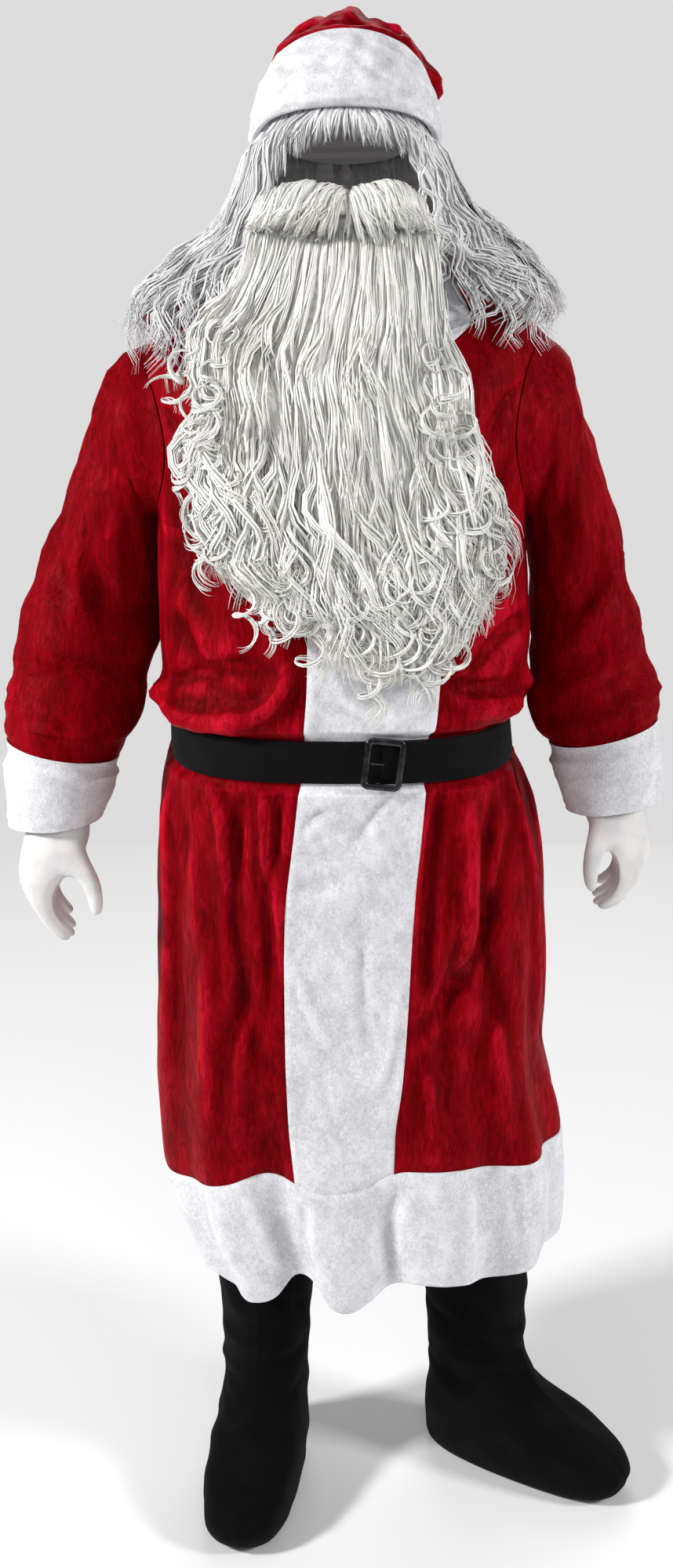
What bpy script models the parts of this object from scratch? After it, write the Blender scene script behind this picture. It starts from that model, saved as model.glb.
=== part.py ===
"""Santa suit: a set of hollow garments in the shape and places they take when worn.

Robe of crushed velvet with white plush trim, belt and buckle, hat, wig, beard, gloves and boot
covers. Metres, +Z up, the front faces -Y and +X is on the right as seen from the front. Heights in
the tables are above the floor; the frame's origin is at the height of the shoulder line, in the
middle of the robe, where the suit is held up.
"""

import math

import bmesh
import bpy
from mathutils import Matrix, Vector

for old in list(bpy.data.objects):
    bpy.data.objects.remove(old, do_unlink=True)

SHOULDER_LINE = 1.50
SEAM_GAP = 0.0003
CLOTH = 0.0020
PLUSH = 0.0030
STEP = 1e-3

frame = bpy.data.objects.new("floor_to_shoulders", None)
frame.location = (0.0, 0.0, -SHOULDER_LINE)
bpy.context.collection.objects.link(frame)


def finish(name, colour, roughness, metallic=0.0):
    """A plain material with the colour, roughness and metallic value of the real surface."""
    material = bpy.data.materials.new(name)
    material.use_nodes = True
    shader = material.node_tree.nodes["Principled BSDF"]
    shader.inputs["Base Color"].default_value = (*colour, 1.0)
    shader.inputs["Roughness"].default_value = roughness
    shader.inputs["Metallic"].default_value = metallic
    return material


RED_VELVET = finish("red_velvet", (0.36, 0.005, 0.012), 0.75)
WHITE_PLUSH = finish("white_plush", (0.80, 0.80, 0.83), 0.85)
WHITE_HAIR = finish("white_hair", (0.78, 0.78, 0.74), 0.45)
WHITE_COTTON = finish("white_cotton", (0.78, 0.77, 0.75), 0.90)
BLACK_CLOTH = finish("black_cloth", (0.008, 0.008, 0.009), 0.90)
DARK_METAL = finish("dark_metal", (0.05, 0.05, 0.055), 0.35, 1.0)


def ease(t):
    """0 to 1 with a level start and end."""
    t = min(max(t, 0.0), 1.0)
    return t * t * (3.0 - 2.0 * t)


def mix(a, b, t):
    return a + (b - a) * t


def row_at(table, key):
    """The other columns of a table, read on a smooth curve through its rows at this key."""
    last = len(table) - 1
    key = min(max(key, table[0][0]), table[last][0])
    i = 0
    while i < last - 1 and key > table[i + 1][0]:
        i += 1
    span = table[i + 1][0] - table[i][0]
    t = (key - table[i][0]) / span
    before, after = max(i - 1, 0), min(i + 2, last)
    values = []
    for c in range(1, len(table[0])):
        a, b = table[i][c], table[i + 1][c]
        slope_a = (b - table[before][c]) / (table[i + 1][0] - table[before][0]) * span
        slope_b = (table[after][c] - a) / (table[after][0] - table[i][0]) * span
        values.append(
            a * (2 * t**3 - 3 * t**2 + 1)
            + slope_a * (t**3 - 2 * t**2 + t)
            + b * (3 * t**2 - 2 * t**3)
            + slope_b * (t**3 - t**2)
        )
    return values


def normal_of(surface, u, v, ends):
    """The outward normal where u runs anticlockwise seen from above and v runs upward."""
    u0, u1 = (u - STEP, u + STEP) if ends[0] is None else (max(u - STEP, 0.0), min(u + STEP, ends[0]))
    v0, v1 = max(v - STEP, 0.0), min(v + STEP, ends[1])
    along_u = surface(u1, v) - surface(u0, v)
    along_v = surface(u, v1) - surface(u, v0)
    return along_u.cross(along_v).normalized()


def add_mesh(name, points, faces, material):
    mesh = bpy.data.meshes.new(name)
    mesh.from_pydata([tuple(p) for p in points], [], faces)
    shape = bmesh.new()
    shape.from_mesh(mesh)
    bmesh.ops.remove_doubles(shape, verts=shape.verts, dist=1e-6)
    if shape.calc_volume(signed=True) < 0:
        bmesh.ops.reverse_faces(shape, faces=shape.faces)
    shape.to_mesh(mesh)
    shape.free()
    mesh.shade_smooth()
    mesh.set_sharp_from_angle(angle=math.radians(60))
    mesh.materials.append(material)
    piece = bpy.data.objects.new(name, mesh)
    piece.parent = frame
    bpy.context.collection.objects.link(piece)
    return piece


def in_ring_plane(ring, normals):
    """The normals of a closed ring of points, laid into the plane of the ring."""
    axis = Vector((0, 0, 0))
    for a, b in zip(ring, ring[1:] + ring[:1]):
        axis += a.cross(b)
    axis.normalize()
    return [(n - axis * n.dot(axis)).normalized() for n in normals]


def wall(name, surface, across, along, thickness, material, loop=False, turned=False,
         inset=SEAM_GAP / 2, start_inset=None, square_rows=(), normal=None):
    """A closed wall between a surface and its offset towards the inside.

    surface(u, v) takes u from 0 to across and v from 0 to along, and the wall has a point at each
    whole number. loop joins the last column to the first. turned is for a surface whose u and v run
    the other way round. inset draws the free edges in, so that sewn pieces stay a seam gap apart,
    and start_inset does so at row 0 where a seam turns a corner.
    square_rows are the rings whose rim is cut square to the tube. normal(u, v) gives the outward
    normal where panels share a surface.
    """
    count = across if loop else across + 1
    ends = (None if loop else across, along)
    outer = [[surface(i, j) for i in range(count)] for j in range(along + 1)]
    normal = normal or (lambda u, v: normal_of(surface, u, v, ends))
    normals = [[normal(i, j) for i in range(count)] for j in range(along + 1)]
    if turned:
        normals = [[-n for n in row] for row in normals]
    for j in square_rows:
        centre = sum(outer[j], Vector((0, 0, 0))) / count
        normals[j] = in_ring_plane([p - centre for p in outer[j]], normals[j])
    shifts = [[Vector((0, 0, 0)) for _ in range(count)] for _ in range(along + 1)]
    for j in range(along + 1):
        for i in range(count):
            if not loop and i in (0, across):
                towards = outer[j][1] - outer[j][0] if i == 0 else outer[j][across - 1] - outer[j][across]
                shifts[j][i] += towards.normalized() * inset
            if j in (0, along):
                towards = outer[1][i] - outer[0][i] if j == 0 else outer[along - 1][i] - outer[along][i]
                shifts[j][i] += towards.normalized() * (start_inset if j == 0 and start_inset else inset)
    points = []
    for side in (0.0, 1.0):
        for j in range(along + 1):
            for i in range(count):
                depth = thickness(i, j) if callable(thickness) else thickness
                points.append(outer[j][i] + shifts[j][i] - normals[j][i] * depth * side)
    back = count * (along + 1)
    faces = []
    for j in range(along):
        for i in range(across):
            a, b = j * count + i, j * count + (i + 1) % count
            c, d = b + count, a + count
            faces.append((a, b, c, d))
            faces.append((back + d, back + c, back + b, back + a))
    for i in range(across):
        a, b = i, (i + 1) % count
        faces.append((a, back + a, back + b, b))
        c, d = along * count + a, along * count + b
        faces.append((c, d, back + d, back + c))
    if not loop:
        for j in range(along):
            a, b = j * count, (j + 1) * count
            faces.append((a, b, back + b, back + a))
            c, d = a + across, b + across
            faces.append((c, back + c, back + d, d))
    return add_mesh(name, points, faces, material)


# Robe: one surface round the body, cut into panels by its columns
ROBE_RINGS = (
    # height, left, right, front, back: half widths at the sides and depths from the mid plane
    (0.30, -0.160, 0.262, 0.150, 0.165),
    (0.33, -0.175, 0.280, 0.155, 0.170),
    (0.39, -0.202, 0.294, 0.158, 0.175),
    (0.46, -0.220, 0.293, 0.160, 0.176),
    (0.53, -0.226, 0.284, 0.163, 0.174),
    (0.60, -0.229, 0.268, 0.168, 0.172),
    (0.70, -0.229, 0.262, 0.176, 0.168),
    (0.85, -0.226, 0.254, 0.190, 0.162),
    (0.95, -0.219, 0.234, 0.199, 0.155),
    (1.01, -0.208, 0.218, 0.203, 0.148),
    (1.06, -0.207, 0.210, 0.206, 0.146),
    (1.09, -0.210, 0.222, 0.207, 0.148),
    (1.15, -0.213, 0.232, 0.205, 0.154),
    (1.22, -0.214, 0.228, 0.196, 0.160),
    (1.30, -0.214, 0.224, 0.184, 0.162),
    (1.38, -0.216, 0.224, 0.170, 0.158),
    (1.45, -0.224, 0.230, 0.148, 0.146),
    (1.50, -0.222, 0.228, 0.112, 0.118),
    (1.525, -0.176, 0.182, 0.088, 0.098),
    (1.55, -0.124, 0.130, 0.072, 0.082),
    (1.575, -0.078, 0.084, 0.064, 0.070),
)
SQUARENESS = 0.22
PLACKET_EDGES = (
    # height, left edge, right edge of the white centre-front strip
    (0.45, -0.050, 0.072),
    (0.55, -0.058, 0.075),
    (0.70, -0.062, 0.084),
    (0.85, -0.060, 0.091),
    (0.96, -0.048, 0.099),
    (1.06, -0.038, 0.108),
    (1.15, -0.033, 0.118),
    (1.30, -0.036, 0.110),
    (1.50, -0.050, 0.078),
)
HEM_SEAM = (
    # angle from the front, height of the seam between red cloth and white hem band
    (-90, 0.458),
    (-60, 0.462),
    (-35, 0.478),
    (-24, 0.494),
    (-10, 0.476),
    (0, 0.480),
    (10, 0.504),
    (40, 0.498),
    (90, 0.504),
    (135, 0.485),
    (180, 0.480),
    (225, 0.474),
    (270, 0.458),
)
HEM_EDGE = (
    # angle from the front, height of the lower edge
    (-90, 0.330),
    (-52, 0.303),
    (-38, 0.306),
    (-30, 0.316),
    (-24, 0.342),
    (-19, 0.338),
    (-12, 0.307),
    (-5, 0.307),
    (3, 0.335),
    (13, 0.343),
    (32, 0.337),
    (50, 0.347),
    (71, 0.352),
    (90, 0.362),
    (120, 0.340),
    (150, 0.326),
    (180, 0.336),
    (210, 0.324),
    (240, 0.334),
    (270, 0.330),
)
SKIRT_FOLDS = (
    # angle, half width in degrees, depth outward at the hem, height where the fold starts
    (-72, 9, 0.008, 0.96),
    (-54, 7, -0.008, 0.84),
    (-38, 9, 0.012, 0.90),
    (-22, 6, -0.020, 0.66),
    (-9, 7, 0.012, 0.66),
    (4, 5, -0.012, 0.62),
    (18, 8, 0.009, 0.90),
    (33, 7, -0.012, 0.98),
    (48, 9, 0.010, 0.92),
    (63, 7, -0.010, 0.95),
    (78, 8, 0.008, 0.90),
    (108, 9, 0.012, 0.92),
    (128, 8, -0.014, 0.88),
    (147, 9, 0.014, 0.95),
    (166, 8, -0.012, 0.80),
    (184, 9, 0.012, 0.95),
    (204, 8, -0.014, 0.86),
    (223, 9, 0.012, 0.92),
    (244, 8, -0.012, 0.90),
    (262, 8, 0.006, 0.80),
)
HEM_REFERENCE = 0.34
HEM_ROW = 0.48
NECK_SIDE = 1.575
NECK_FRONT = 1.505
NECK_CURVE = 2.5
FRONT_EASES_FROM = 1.15
SHOULDER_RISE = 0.055
ARMPIT = 1.30
ARMHOLE_TOP = 1.50
ARMHOLE_ANGLE = 33.0
ARMHOLE_ROWS = 8
BELT_HEIGHT = 1.040
BELT_WIDTH = 0.050
BELT_PINCH = 0.009
SIDE_COLUMNS = 9
PLACKET_COLUMNS = 5
BACK_COLUMNS = 16
PLACKET_START = SIDE_COLUMNS
PLACKET_END = PLACKET_START + PLACKET_COLUMNS
FRONT_END = PLACKET_END + SIDE_COLUMNS
ROUND_COLUMNS = FRONT_END + BACK_COLUMNS
SKIRT_ROWS = (HEM_ROW, 0.56, 0.65, 0.75, 0.85, 0.94, 1.000, 1.013, 1.067, 1.080, 1.14, 1.22, ARMPIT)
SHOULDER_ROWS = (1.54, NECK_SIDE)
HEM_BAND_ROWS = 3


def armhole_row(k):
    """The row height of the k-th point up an armhole, closer together at its ends."""
    middle, half = (ARMPIT + ARMHOLE_TOP) / 2, (ARMHOLE_TOP - ARMPIT) / 2
    return middle - half * math.cos(math.pi * k / ARMHOLE_ROWS)


ROBE_ROWS = (*SKIRT_ROWS, *(armhole_row(k) for k in range(1, ARMHOLE_ROWS + 1)), *SHOULDER_ROWS)


def around(table, angle):
    """A table by angle, read all the way round."""
    return row_at(table, (angle + 90.0) % 360.0 - 90.0)[0]


def angle_apart(a, b):
    return (a - b + 180.0) % 360.0 - 180.0


def robe_surface(angle, height):
    """A point of the robe's outside: angle in degrees from the front towards the right."""
    left, right, front, back = row_at(ROBE_RINGS, height)
    s, c = math.sin(math.radians(angle)), math.cos(math.radians(angle))
    half, middle = (right - left) / 2, (right + left) / 2
    depth = front if c > 0 else back
    x = middle + half * s * (1 + SQUARENESS * c * c)
    y = -depth * c * (1 + SQUARENESS * s * s)
    out = 0.0
    for fold_angle, half_width, fold_depth, top in SKIRT_FOLDS:
        if height < top:
            near = angle_apart(angle, fold_angle) / half_width
            out += fold_depth * math.exp(-near * near) * ease((top - height) / (top - HEM_REFERENCE))
    from_belt = (abs(height - BELT_HEIGHT) - 0.027) / 0.012
    out -= BELT_PINCH * (1.0 - ease(from_belt))
    rise = SHOULDER_RISE * x * ease((height - FRONT_EASES_FROM) / (ARMHOLE_TOP - FRONT_EASES_FROM))
    return Vector((x + out * s, y - out * c, height + rise))


def angle_at(x, height):
    """The angle on the front where the robe's ring at this height reaches x."""
    low, high = -89.0, 89.0
    left, right = row_at(ROBE_RINGS, height)[:2]
    half, middle = (right - left) / 2, (right + left) / 2
    for _ in range(40):
        angle = (low + high) / 2
        s, c = math.sin(math.radians(angle)), math.cos(math.radians(angle))
        if middle + half * s * (1 + SQUARENESS * c * c) < x:
            low = angle
        else:
            high = angle
    return (low + high) / 2


def armhole_opening(row):
    """How far in degrees an armhole's edge stands from the side of the body."""
    if not ARMPIT < row < ARMHOLE_TOP:
        return 0.0
    k = (row - ARMPIT) / (ARMHOLE_TOP - ARMPIT) * 2 - 1
    return ARMHOLE_ANGLE * math.sqrt(1 - k * k)


def robe_place(column, row):
    """The angle and height of a column and a row height of the robe's grid."""
    opening = armhole_opening(row)
    eased = row
    if row > FRONT_EASES_FROM:
        share = (NECK_FRONT - FRONT_EASES_FROM) / (NECK_SIDE - FRONT_EASES_FROM)
        eased = FRONT_EASES_FROM + (row - FRONT_EASES_FROM) * share
    left_edge, right_edge = row_at(PLACKET_EDGES, eased)
    if column <= PLACKET_START:
        t = column / SIDE_COLUMNS
        return mix(-90 + opening, angle_at(left_edge, eased), t), mix(row, eased, t**NECK_CURVE)
    if column <= PLACKET_END:
        t = (column - PLACKET_START) / PLACKET_COLUMNS
        return mix(angle_at(left_edge, eased), angle_at(right_edge, eased), t), eased
    if column <= FRONT_END:
        t = (column - PLACKET_END) / SIDE_COLUMNS
        return mix(angle_at(right_edge, eased), 90 - opening, t), mix(row, eased, (1 - t) ** NECK_CURVE)
    t = (column - FRONT_END) / BACK_COLUMNS
    return mix(90 + opening, 270 - opening, t), row


def row_height(v):
    """The row height at a fractional row number."""
    low = min(int(v), len(ROBE_ROWS) - 2)
    return mix(ROBE_ROWS[low], ROBE_ROWS[low + 1], v - low)


def robe_cell(column, v):
    """The angle and height by column and row number, the lowest rows drawn to the hem seam."""
    row = row_height(v)
    angle, height = robe_place(column, row)
    near_hem = 1.0 - ease((row - HEM_ROW) / 0.18)
    return angle, height + (around(HEM_SEAM, angle) - HEM_ROW) * near_hem


def hem_cell(column, v):
    """The same for the white band, by row upward from its lower edge."""
    angle = robe_place(column, HEM_ROW)[0]
    return angle, mix(around(HEM_EDGE, angle), around(HEM_SEAM, angle), v / HEM_BAND_ROWS)


def robe_normal(angle, height):
    around_it = robe_surface(angle + 0.5, height) - robe_surface(angle - 0.5, height)
    up_it = robe_surface(angle, min(height + 0.002, NECK_SIDE)) - robe_surface(angle, height - 0.002)
    return around_it.cross(up_it).normalized()


def panel(name, place, columns, rows, thickness, material):
    """A panel of the robe between two columns. place(column, v) gives angle and height."""
    first, last = columns
    start = first + (BEHIND_ARMHOLE if columns == BACK else 0.0)
    wall(
        name,
        lambda u, v: robe_surface(*place(start + u, v)),
        last - first, rows, thickness, material,
        normal=lambda u, v: robe_normal(*place(start + u, v)),
    )


TOP_ROW = len(ROBE_ROWS) - 1
FRONT_RIGHT, PLACKET = (0, PLACKET_START), (PLACKET_START, PLACKET_END)
FRONT_LEFT, BACK = (PLACKET_END, FRONT_END), (FRONT_END, ROUND_COLUMNS)
BEHIND_ARMHOLE = 1e-6
panel("robe_front_right", robe_cell, FRONT_RIGHT, TOP_ROW, CLOTH, RED_VELVET)
panel("placket", robe_cell, PLACKET, TOP_ROW, CLOTH, WHITE_PLUSH)
panel("robe_front_left", robe_cell, FRONT_LEFT, TOP_ROW, CLOTH, RED_VELVET)
panel("robe_back", robe_cell, BACK, TOP_ROW, CLOTH, RED_VELVET)
panel("hem_band_front", hem_cell, (0, FRONT_END), HEM_BAND_ROWS, PLUSH, WHITE_PLUSH)
panel("hem_band_back", hem_cell, BACK, HEM_BAND_ROWS, PLUSH, WHITE_PLUSH)


# Sleeves: tubes from the armhole loops to the cuff seams
SLEEVE_COLUMNS = 2 * ARMHOLE_ROWS
SLEEVE_RIGHT = (
    # section, outer x, outer z, inner x, inner z, middle y, depth
    (1, -0.262, 1.462, -0.2205, 1.284, 0.000, 0.172),
    (2, -0.287, 1.386, -0.2215, 1.246, 0.003, 0.166),
    (3, -0.312, 1.315, -0.2215, 1.208, 0.004, 0.160),
    (4, -0.344, 1.248, -0.2210, 1.170, 0.002, 0.156),
    (5, -0.369, 1.178, -0.2215, 1.130, -0.008, 0.154),
    (6, -0.389, 1.112, -0.2340, 1.088, -0.024, 0.148),
    (7, -0.395, 1.066, -0.2440, 1.048, -0.042, 0.140),
    (8, -0.391, 1.031, -0.2660, 1.008, -0.056, 0.128),
)
SLEEVE_LEFT = (
    (1, 0.266, 1.470, 0.2320, 1.290, 0.000, 0.172),
    (2, 0.290, 1.402, 0.2360, 1.252, 0.003, 0.166),
    (3, 0.310, 1.330, 0.2390, 1.212, 0.004, 0.160),
    (4, 0.335, 1.256, 0.2400, 1.172, 0.002, 0.156),
    (5, 0.350, 1.190, 0.2400, 1.136, -0.008, 0.154),
    (6, 0.370, 1.128, 0.2340, 1.096, -0.024, 0.148),
    (7, 0.383, 1.088, 0.2360, 1.062, -0.042, 0.140),
    (8, 0.382, 1.058, 0.2600, 1.026, -0.056, 0.128),
)
SLEEVE_FOLDS = (
    # section, half length in sections, turn round the sleeve from its top, half width, depth
    (1.8, 0.7, 60, 50, -0.005),
    (3.0, 0.6, 100, 55, 0.005),
    (4.1, 0.5, 80, 60, -0.007),
    (5.0, 0.45, 70, 70, 0.007),
    (5.8, 0.45, 100, 75, -0.007),
    (6.6, 0.4, 60, 70, 0.005),
    (2.6, 0.7, 250, 50, -0.005),
    (4.4, 0.6, 270, 60, 0.006),
    (5.6, 0.5, 260, 60, -0.006),
)
ARMHOLE_INSET = 0.0016
CUFF_ROWS = 4
CUFF_ROLL = 0.004
CUFF_HIGH = 0.7
CUFF_RIGHT_EDGE = (-0.394, 0.928, -0.287, 0.938, -0.062, 0.112)
CUFF_LEFT_EDGE = (0.390, 0.966, 0.285, 0.946, -0.062, 0.112)


def section(outer_x, outer_z, inner_x, inner_z, middle_y, depth, turn):
    """A point of an oval between an outer and an inner point; turn 90 is its front."""
    s, c = math.sin(math.radians(turn)), math.cos(math.radians(turn))
    x = (outer_x + inner_x) / 2 + (outer_x - inner_x) / 2 * c
    z = (outer_z + inner_z) / 2 + (outer_z - inner_z) / 2 * c
    return Vector((x, middle_y - depth / 2 * s, z))


def armhole_point(side, turn):
    """The robe's armhole edge: turn 0 at the shoulder, 90 in front, 180 at the armpit."""
    turn = turn % 360.0
    in_front = turn <= 180.0
    row = armhole_row(((180.0 - turn) if in_front else (turn - 180.0)) / 180.0 * ARMHOLE_ROWS)
    opening = armhole_opening(row)
    return robe_surface(side * (90 - opening if in_front else 90 + opening), row)


def sleeve_surface(side, table):
    def surface(u, v):
        turn = 360.0 * u / SLEEVE_COLUMNS
        if v < 1.0:
            return armhole_point(side, turn).lerp(section(*table[0][1:], turn), v)
        values = row_at(table, v)
        point = section(*values, turn)
        centre = Vector(((values[0] + values[2]) / 2, values[4], (values[1] + values[3]) / 2))
        for place, half_length, fold_turn, half_width, depth in SLEEVE_FOLDS:
            near = (v - place) / half_length
            near_turn = angle_apart(turn, fold_turn) / half_width
            swell = depth * math.exp(-near * near - near_turn * near_turn)
            swell *= ease(v - 1.0) * ease(len(table) - v)
            point += (point - centre).normalized() * swell
        return point

    return surface


def cuff_surface(table, edge):
    def surface(u, v):
        turn = 360.0 * u / SLEEVE_COLUMNS
        seam = section(*table[-1][1:], turn)
        low = section(*edge, turn)
        centre = (section(*edge, 0) + section(*edge, 180)) / 2
        point = seam.lerp(low, v / CUFF_ROWS)
        out = Vector((point.x - centre.x, point.y - centre.y, 0)).normalized()
        return point + out * CUFF_ROLL * math.sin(math.pi * (v / CUFF_ROWS) ** CUFF_HIGH)

    return surface


for name, side, table, edge in (
    ("right", -1, SLEEVE_RIGHT, CUFF_RIGHT_EDGE),
    ("left", 1, SLEEVE_LEFT, CUFF_LEFT_EDGE),
):
    wall(f"sleeve_{name}", sleeve_surface(side, table), SLEEVE_COLUMNS, len(table), CLOTH, RED_VELVET,
         loop=True, turned=side > 0, start_inset=ARMHOLE_INSET, square_rows=(0, len(table)))
    wall(f"cuff_{name}", cuff_surface(table, edge), SLEEVE_COLUMNS, CUFF_ROWS, PLUSH, WHITE_PLUSH,
         loop=True, turned=side > 0, square_rows=(0,))


# Belt: a strap round the robe, its pointed free end on top, and the buckle
STRAP = 0.0025
STRAP_CLEAR = 0.0008
SECOND_LAYER = 2 * (STRAP + STRAP_CLEAR) + 0.0006
BELT_ROWS = 2
BELT_LOW_ROW = SKIRT_ROWS.index(1.013)
FREE_END_FIRST = PLACKET_START + 3
FREE_END_COLUMNS = 10
POINT_COLUMNS = 0.7
BUCKLE_X = 0.053
BUCKLE_WIDTH = 0.047
BUCKLE_HEIGHT = 0.061
BUCKLE_BAR = 0.0075
BUCKLE_THICK = 0.0036
BUCKLE_BEVEL = 0.0009
BUCKLE_LEAN = 7.0
BUCKLE_CLEAR = 0.0016
PRONG_LENGTH = 0.017
PRONG_THICK = 0.0026


def moved_out(point, angle, distance):
    a = math.radians(angle)
    return point + Vector((math.sin(a), -math.cos(a), 0)) * distance


def belt_height(v):
    return BELT_HEIGHT - BELT_WIDTH / 2 + BELT_WIDTH * v / BELT_ROWS


def belt_on_robe(column, v, distance):
    """A point of the belt: on the straight cloth between the robe's two belt rows, moved out."""
    column %= ROUND_COLUMNS
    below, above = ROBE_ROWS[BELT_LOW_ROW], ROBE_ROWS[BELT_LOW_ROW + 1]
    share = (belt_height(v) - below) / (above - below)
    low, high = (robe_surface(*robe_cell(column, BELT_LOW_ROW + k)) for k in (0, 1))
    under = low.lerp(high, share)
    return moved_out(under, robe_place(column, BELT_HEIGHT)[0], distance)


def strap_surface(u, v):
    return belt_on_robe(u, v, STRAP + STRAP_CLEAR)


def free_end_surface(u, v):
    """The strap's second layer on the strap's own columns, from inside the buckle to its point."""
    middle = 1.0 - abs(v / BELT_ROWS * 2 - 1)
    column = FREE_END_FIRST + u + POINT_COLUMNS * middle * max(u - FREE_END_COLUMNS + 1, 0.0)
    whole = int(column)
    ends = [belt_on_robe(near, v, SECOND_LAYER) for near in (whole, whole + 1)]
    return ends[0].lerp(ends[1], column - whole)


wall("belt_strap", strap_surface, ROUND_COLUMNS, BELT_ROWS, STRAP, BLACK_CLOTH, loop=True)
wall("belt_free_end", free_end_surface, FREE_END_COLUMNS, BELT_ROWS, STRAP, BLACK_CLOTH)


def bar_loop(name, corners, half_width, half_thick, bevel, material):
    """A closed frame of bevelled bars round a rectangle in its own XZ plane."""
    profile = (
        (half_width, half_thick - bevel),
        (half_width - bevel, half_thick),
        (-half_width + bevel, half_thick),
        (-half_width, half_thick - bevel),
        (-half_width, -half_thick + bevel),
        (-half_width + bevel, -half_thick),
        (half_width - bevel, -half_thick),
        (half_width, -half_thick + bevel),
    )
    points, faces = [], []
    for x, z in corners:
        out_x, out_z = math.copysign(1, x), math.copysign(1, z)
        for across, deep in profile:
            points.append(Vector((x + out_x * across, -deep, z + out_z * across)))
    n = len(profile)
    for i in range(4):
        for k in range(n):
            a, b = i * n + k, i * n + (k + 1) % n
            c, d = (i + 1) % 4 * n + (k + 1) % n, (i + 1) % 4 * n + k
            faces.append((a, b, c, d))
    return add_mesh(name, points, faces, material)


def box(name, size, material):
    shape = bmesh.new()
    bmesh.ops.create_cube(shape, size=1.0, matrix=Matrix.Diagonal((*size, 1.0)))
    bmesh.ops.bevel(shape, geom=shape.edges[:], offset=min(size) * 0.25, segments=1, affect="EDGES")
    mesh = bpy.data.meshes.new(name)
    shape.to_mesh(mesh)
    shape.free()
    mesh.materials.append(material)
    piece = bpy.data.objects.new(name, mesh)
    piece.parent = frame
    bpy.context.collection.objects.link(piece)
    return piece


buckle_angle = angle_at(BUCKLE_X, BELT_HEIGHT)
on_strap = moved_out(robe_surface(buckle_angle, BELT_HEIGHT), buckle_angle, SECOND_LAYER)
facing = robe_normal(buckle_angle, BELT_HEIGHT)
half_x, half_z = (BUCKLE_WIDTH - BUCKLE_BAR) / 2, (BUCKLE_HEIGHT - BUCKLE_BAR) / 2
corners = ((-half_x, -half_z), (half_x, -half_z), (half_x, half_z), (-half_x, half_z))
buckle = bar_loop("buckle_frame", corners, BUCKLE_BAR / 2, BUCKLE_THICK / 2, BUCKLE_BEVEL, DARK_METAL)
turned_to_face = Matrix.Rotation(math.atan2(facing.x, -facing.y), 4, "Z")
leaning = Matrix.Rotation(math.radians(BUCKLE_LEAN), 4, "Y")
off_strap = facing * (BUCKLE_THICK / 2 + BUCKLE_CLEAR)
buckle_place = Matrix.Translation(on_strap + off_strap) @ turned_to_face @ leaning
buckle.matrix_local = buckle_place
prong = box("buckle_prong", (PRONG_LENGTH, PRONG_THICK, PRONG_THICK), DARK_METAL)
prong_x = -half_x + BUCKLE_BAR / 2 + PRONG_LENGTH / 2 + SEAM_GAP
prong_y = BUCKLE_THICK / 2 - PRONG_THICK / 2
prong.matrix_local = buckle_place @ Matrix.Translation((prong_x, prong_y, 0))


# Collar: white plush lying on the robe round the neck
COLLAR_COLUMNS = 24
COLLAR_ROWS = 3
COLLAR_FIRST = PLACKET_END - 1.6
COLLAR_LAST = ROUND_COLUMNS + PLACKET_START + 1.6
COLLAR_FALL_SIDE = 0.72
COLLAR_FALL_FRONT = 1.5
COLLAR_STAND = 0.016
COLLAR_CLEAR = 0.0050
COLLAR_PUFF = 0.004


def collar_surface(u, v):
    """Over the neck edge at row 0 and down on the robe, by the robe's own columns and rows."""
    column = mix(COLLAR_FIRST, COLLAR_LAST, u / COLLAR_COLUMNS) % ROUND_COLUMNS
    facing = max(math.cos(math.radians(robe_cell(column, TOP_ROW)[0])), 0.0)
    t = v / COLLAR_ROWS
    cell = robe_cell(column, TOP_ROW - mix(COLLAR_FALL_SIDE, COLLAR_FALL_FRONT, facing**4) * t)
    lift = Vector((0, 0, COLLAR_STAND * (1 - t) ** 2))
    out = COLLAR_CLEAR + COLLAR_PUFF * math.sin(math.pi * t)
    return robe_surface(*cell) + robe_normal(*cell) * out + lift


wall("collar", collar_surface, COLLAR_COLUMNS, COLLAR_ROWS, PLUSH, WHITE_PLUSH, turned=True)


# Hat: white plush band, red crown folded over to the back
HAT_COLUMNS = 20
BAND_ROWS = 4
BAND_THICK = 0.007
BAND_RINGS = (
    # share of the height, left, right, front, back
    (0.00, -0.095, 0.115, 0.112, 0.100),
    (0.15, -0.098, 0.118, 0.116, 0.103),
    (0.50, -0.094, 0.115, 0.106, 0.100),
    (0.85, -0.088, 0.110, 0.082, 0.094),
    (1.00, -0.082, 0.104, 0.067, 0.087),
)
CROWN_CLEAR = 0.0012
CROWN_FROM = 0.6
BAND_LOW_SIDE = 1.706
BAND_LOW_TILT = 0.036
BAND_TALL = (0.084, 0.058, 0.066)
CROWN_SECTIONS = (
    # section, centre x, y, z, half width, half depth
    (2, 0.014, 0.016, 1.796, 0.080, 0.058),
    (3, 0.022, 0.030, 1.808, 0.062, 0.042),
    (4, 0.044, 0.058, 1.806, 0.053, 0.028),
    (5, 0.066, 0.092, 1.786, 0.045, 0.026),
    (6, 0.078, 0.122, 1.750, 0.040, 0.022),
    (7, 0.083, 0.138, 1.706, 0.033, 0.018),
    (8, 0.085, 0.146, 1.655, 0.024, 0.014),
    (9, 0.085, 0.150, 1.610, 0.010, 0.008),
)


def ring_point(left, right, front, back, angle, squareness=0.12):
    s, c = math.sin(math.radians(angle)), math.cos(math.radians(angle))
    x = (left + right) / 2 + (right - left) / 2 * s * (1 + squareness * c * c)
    return x, -(front if c > 0 else back) * c * (1 + squareness * s * s)


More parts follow.
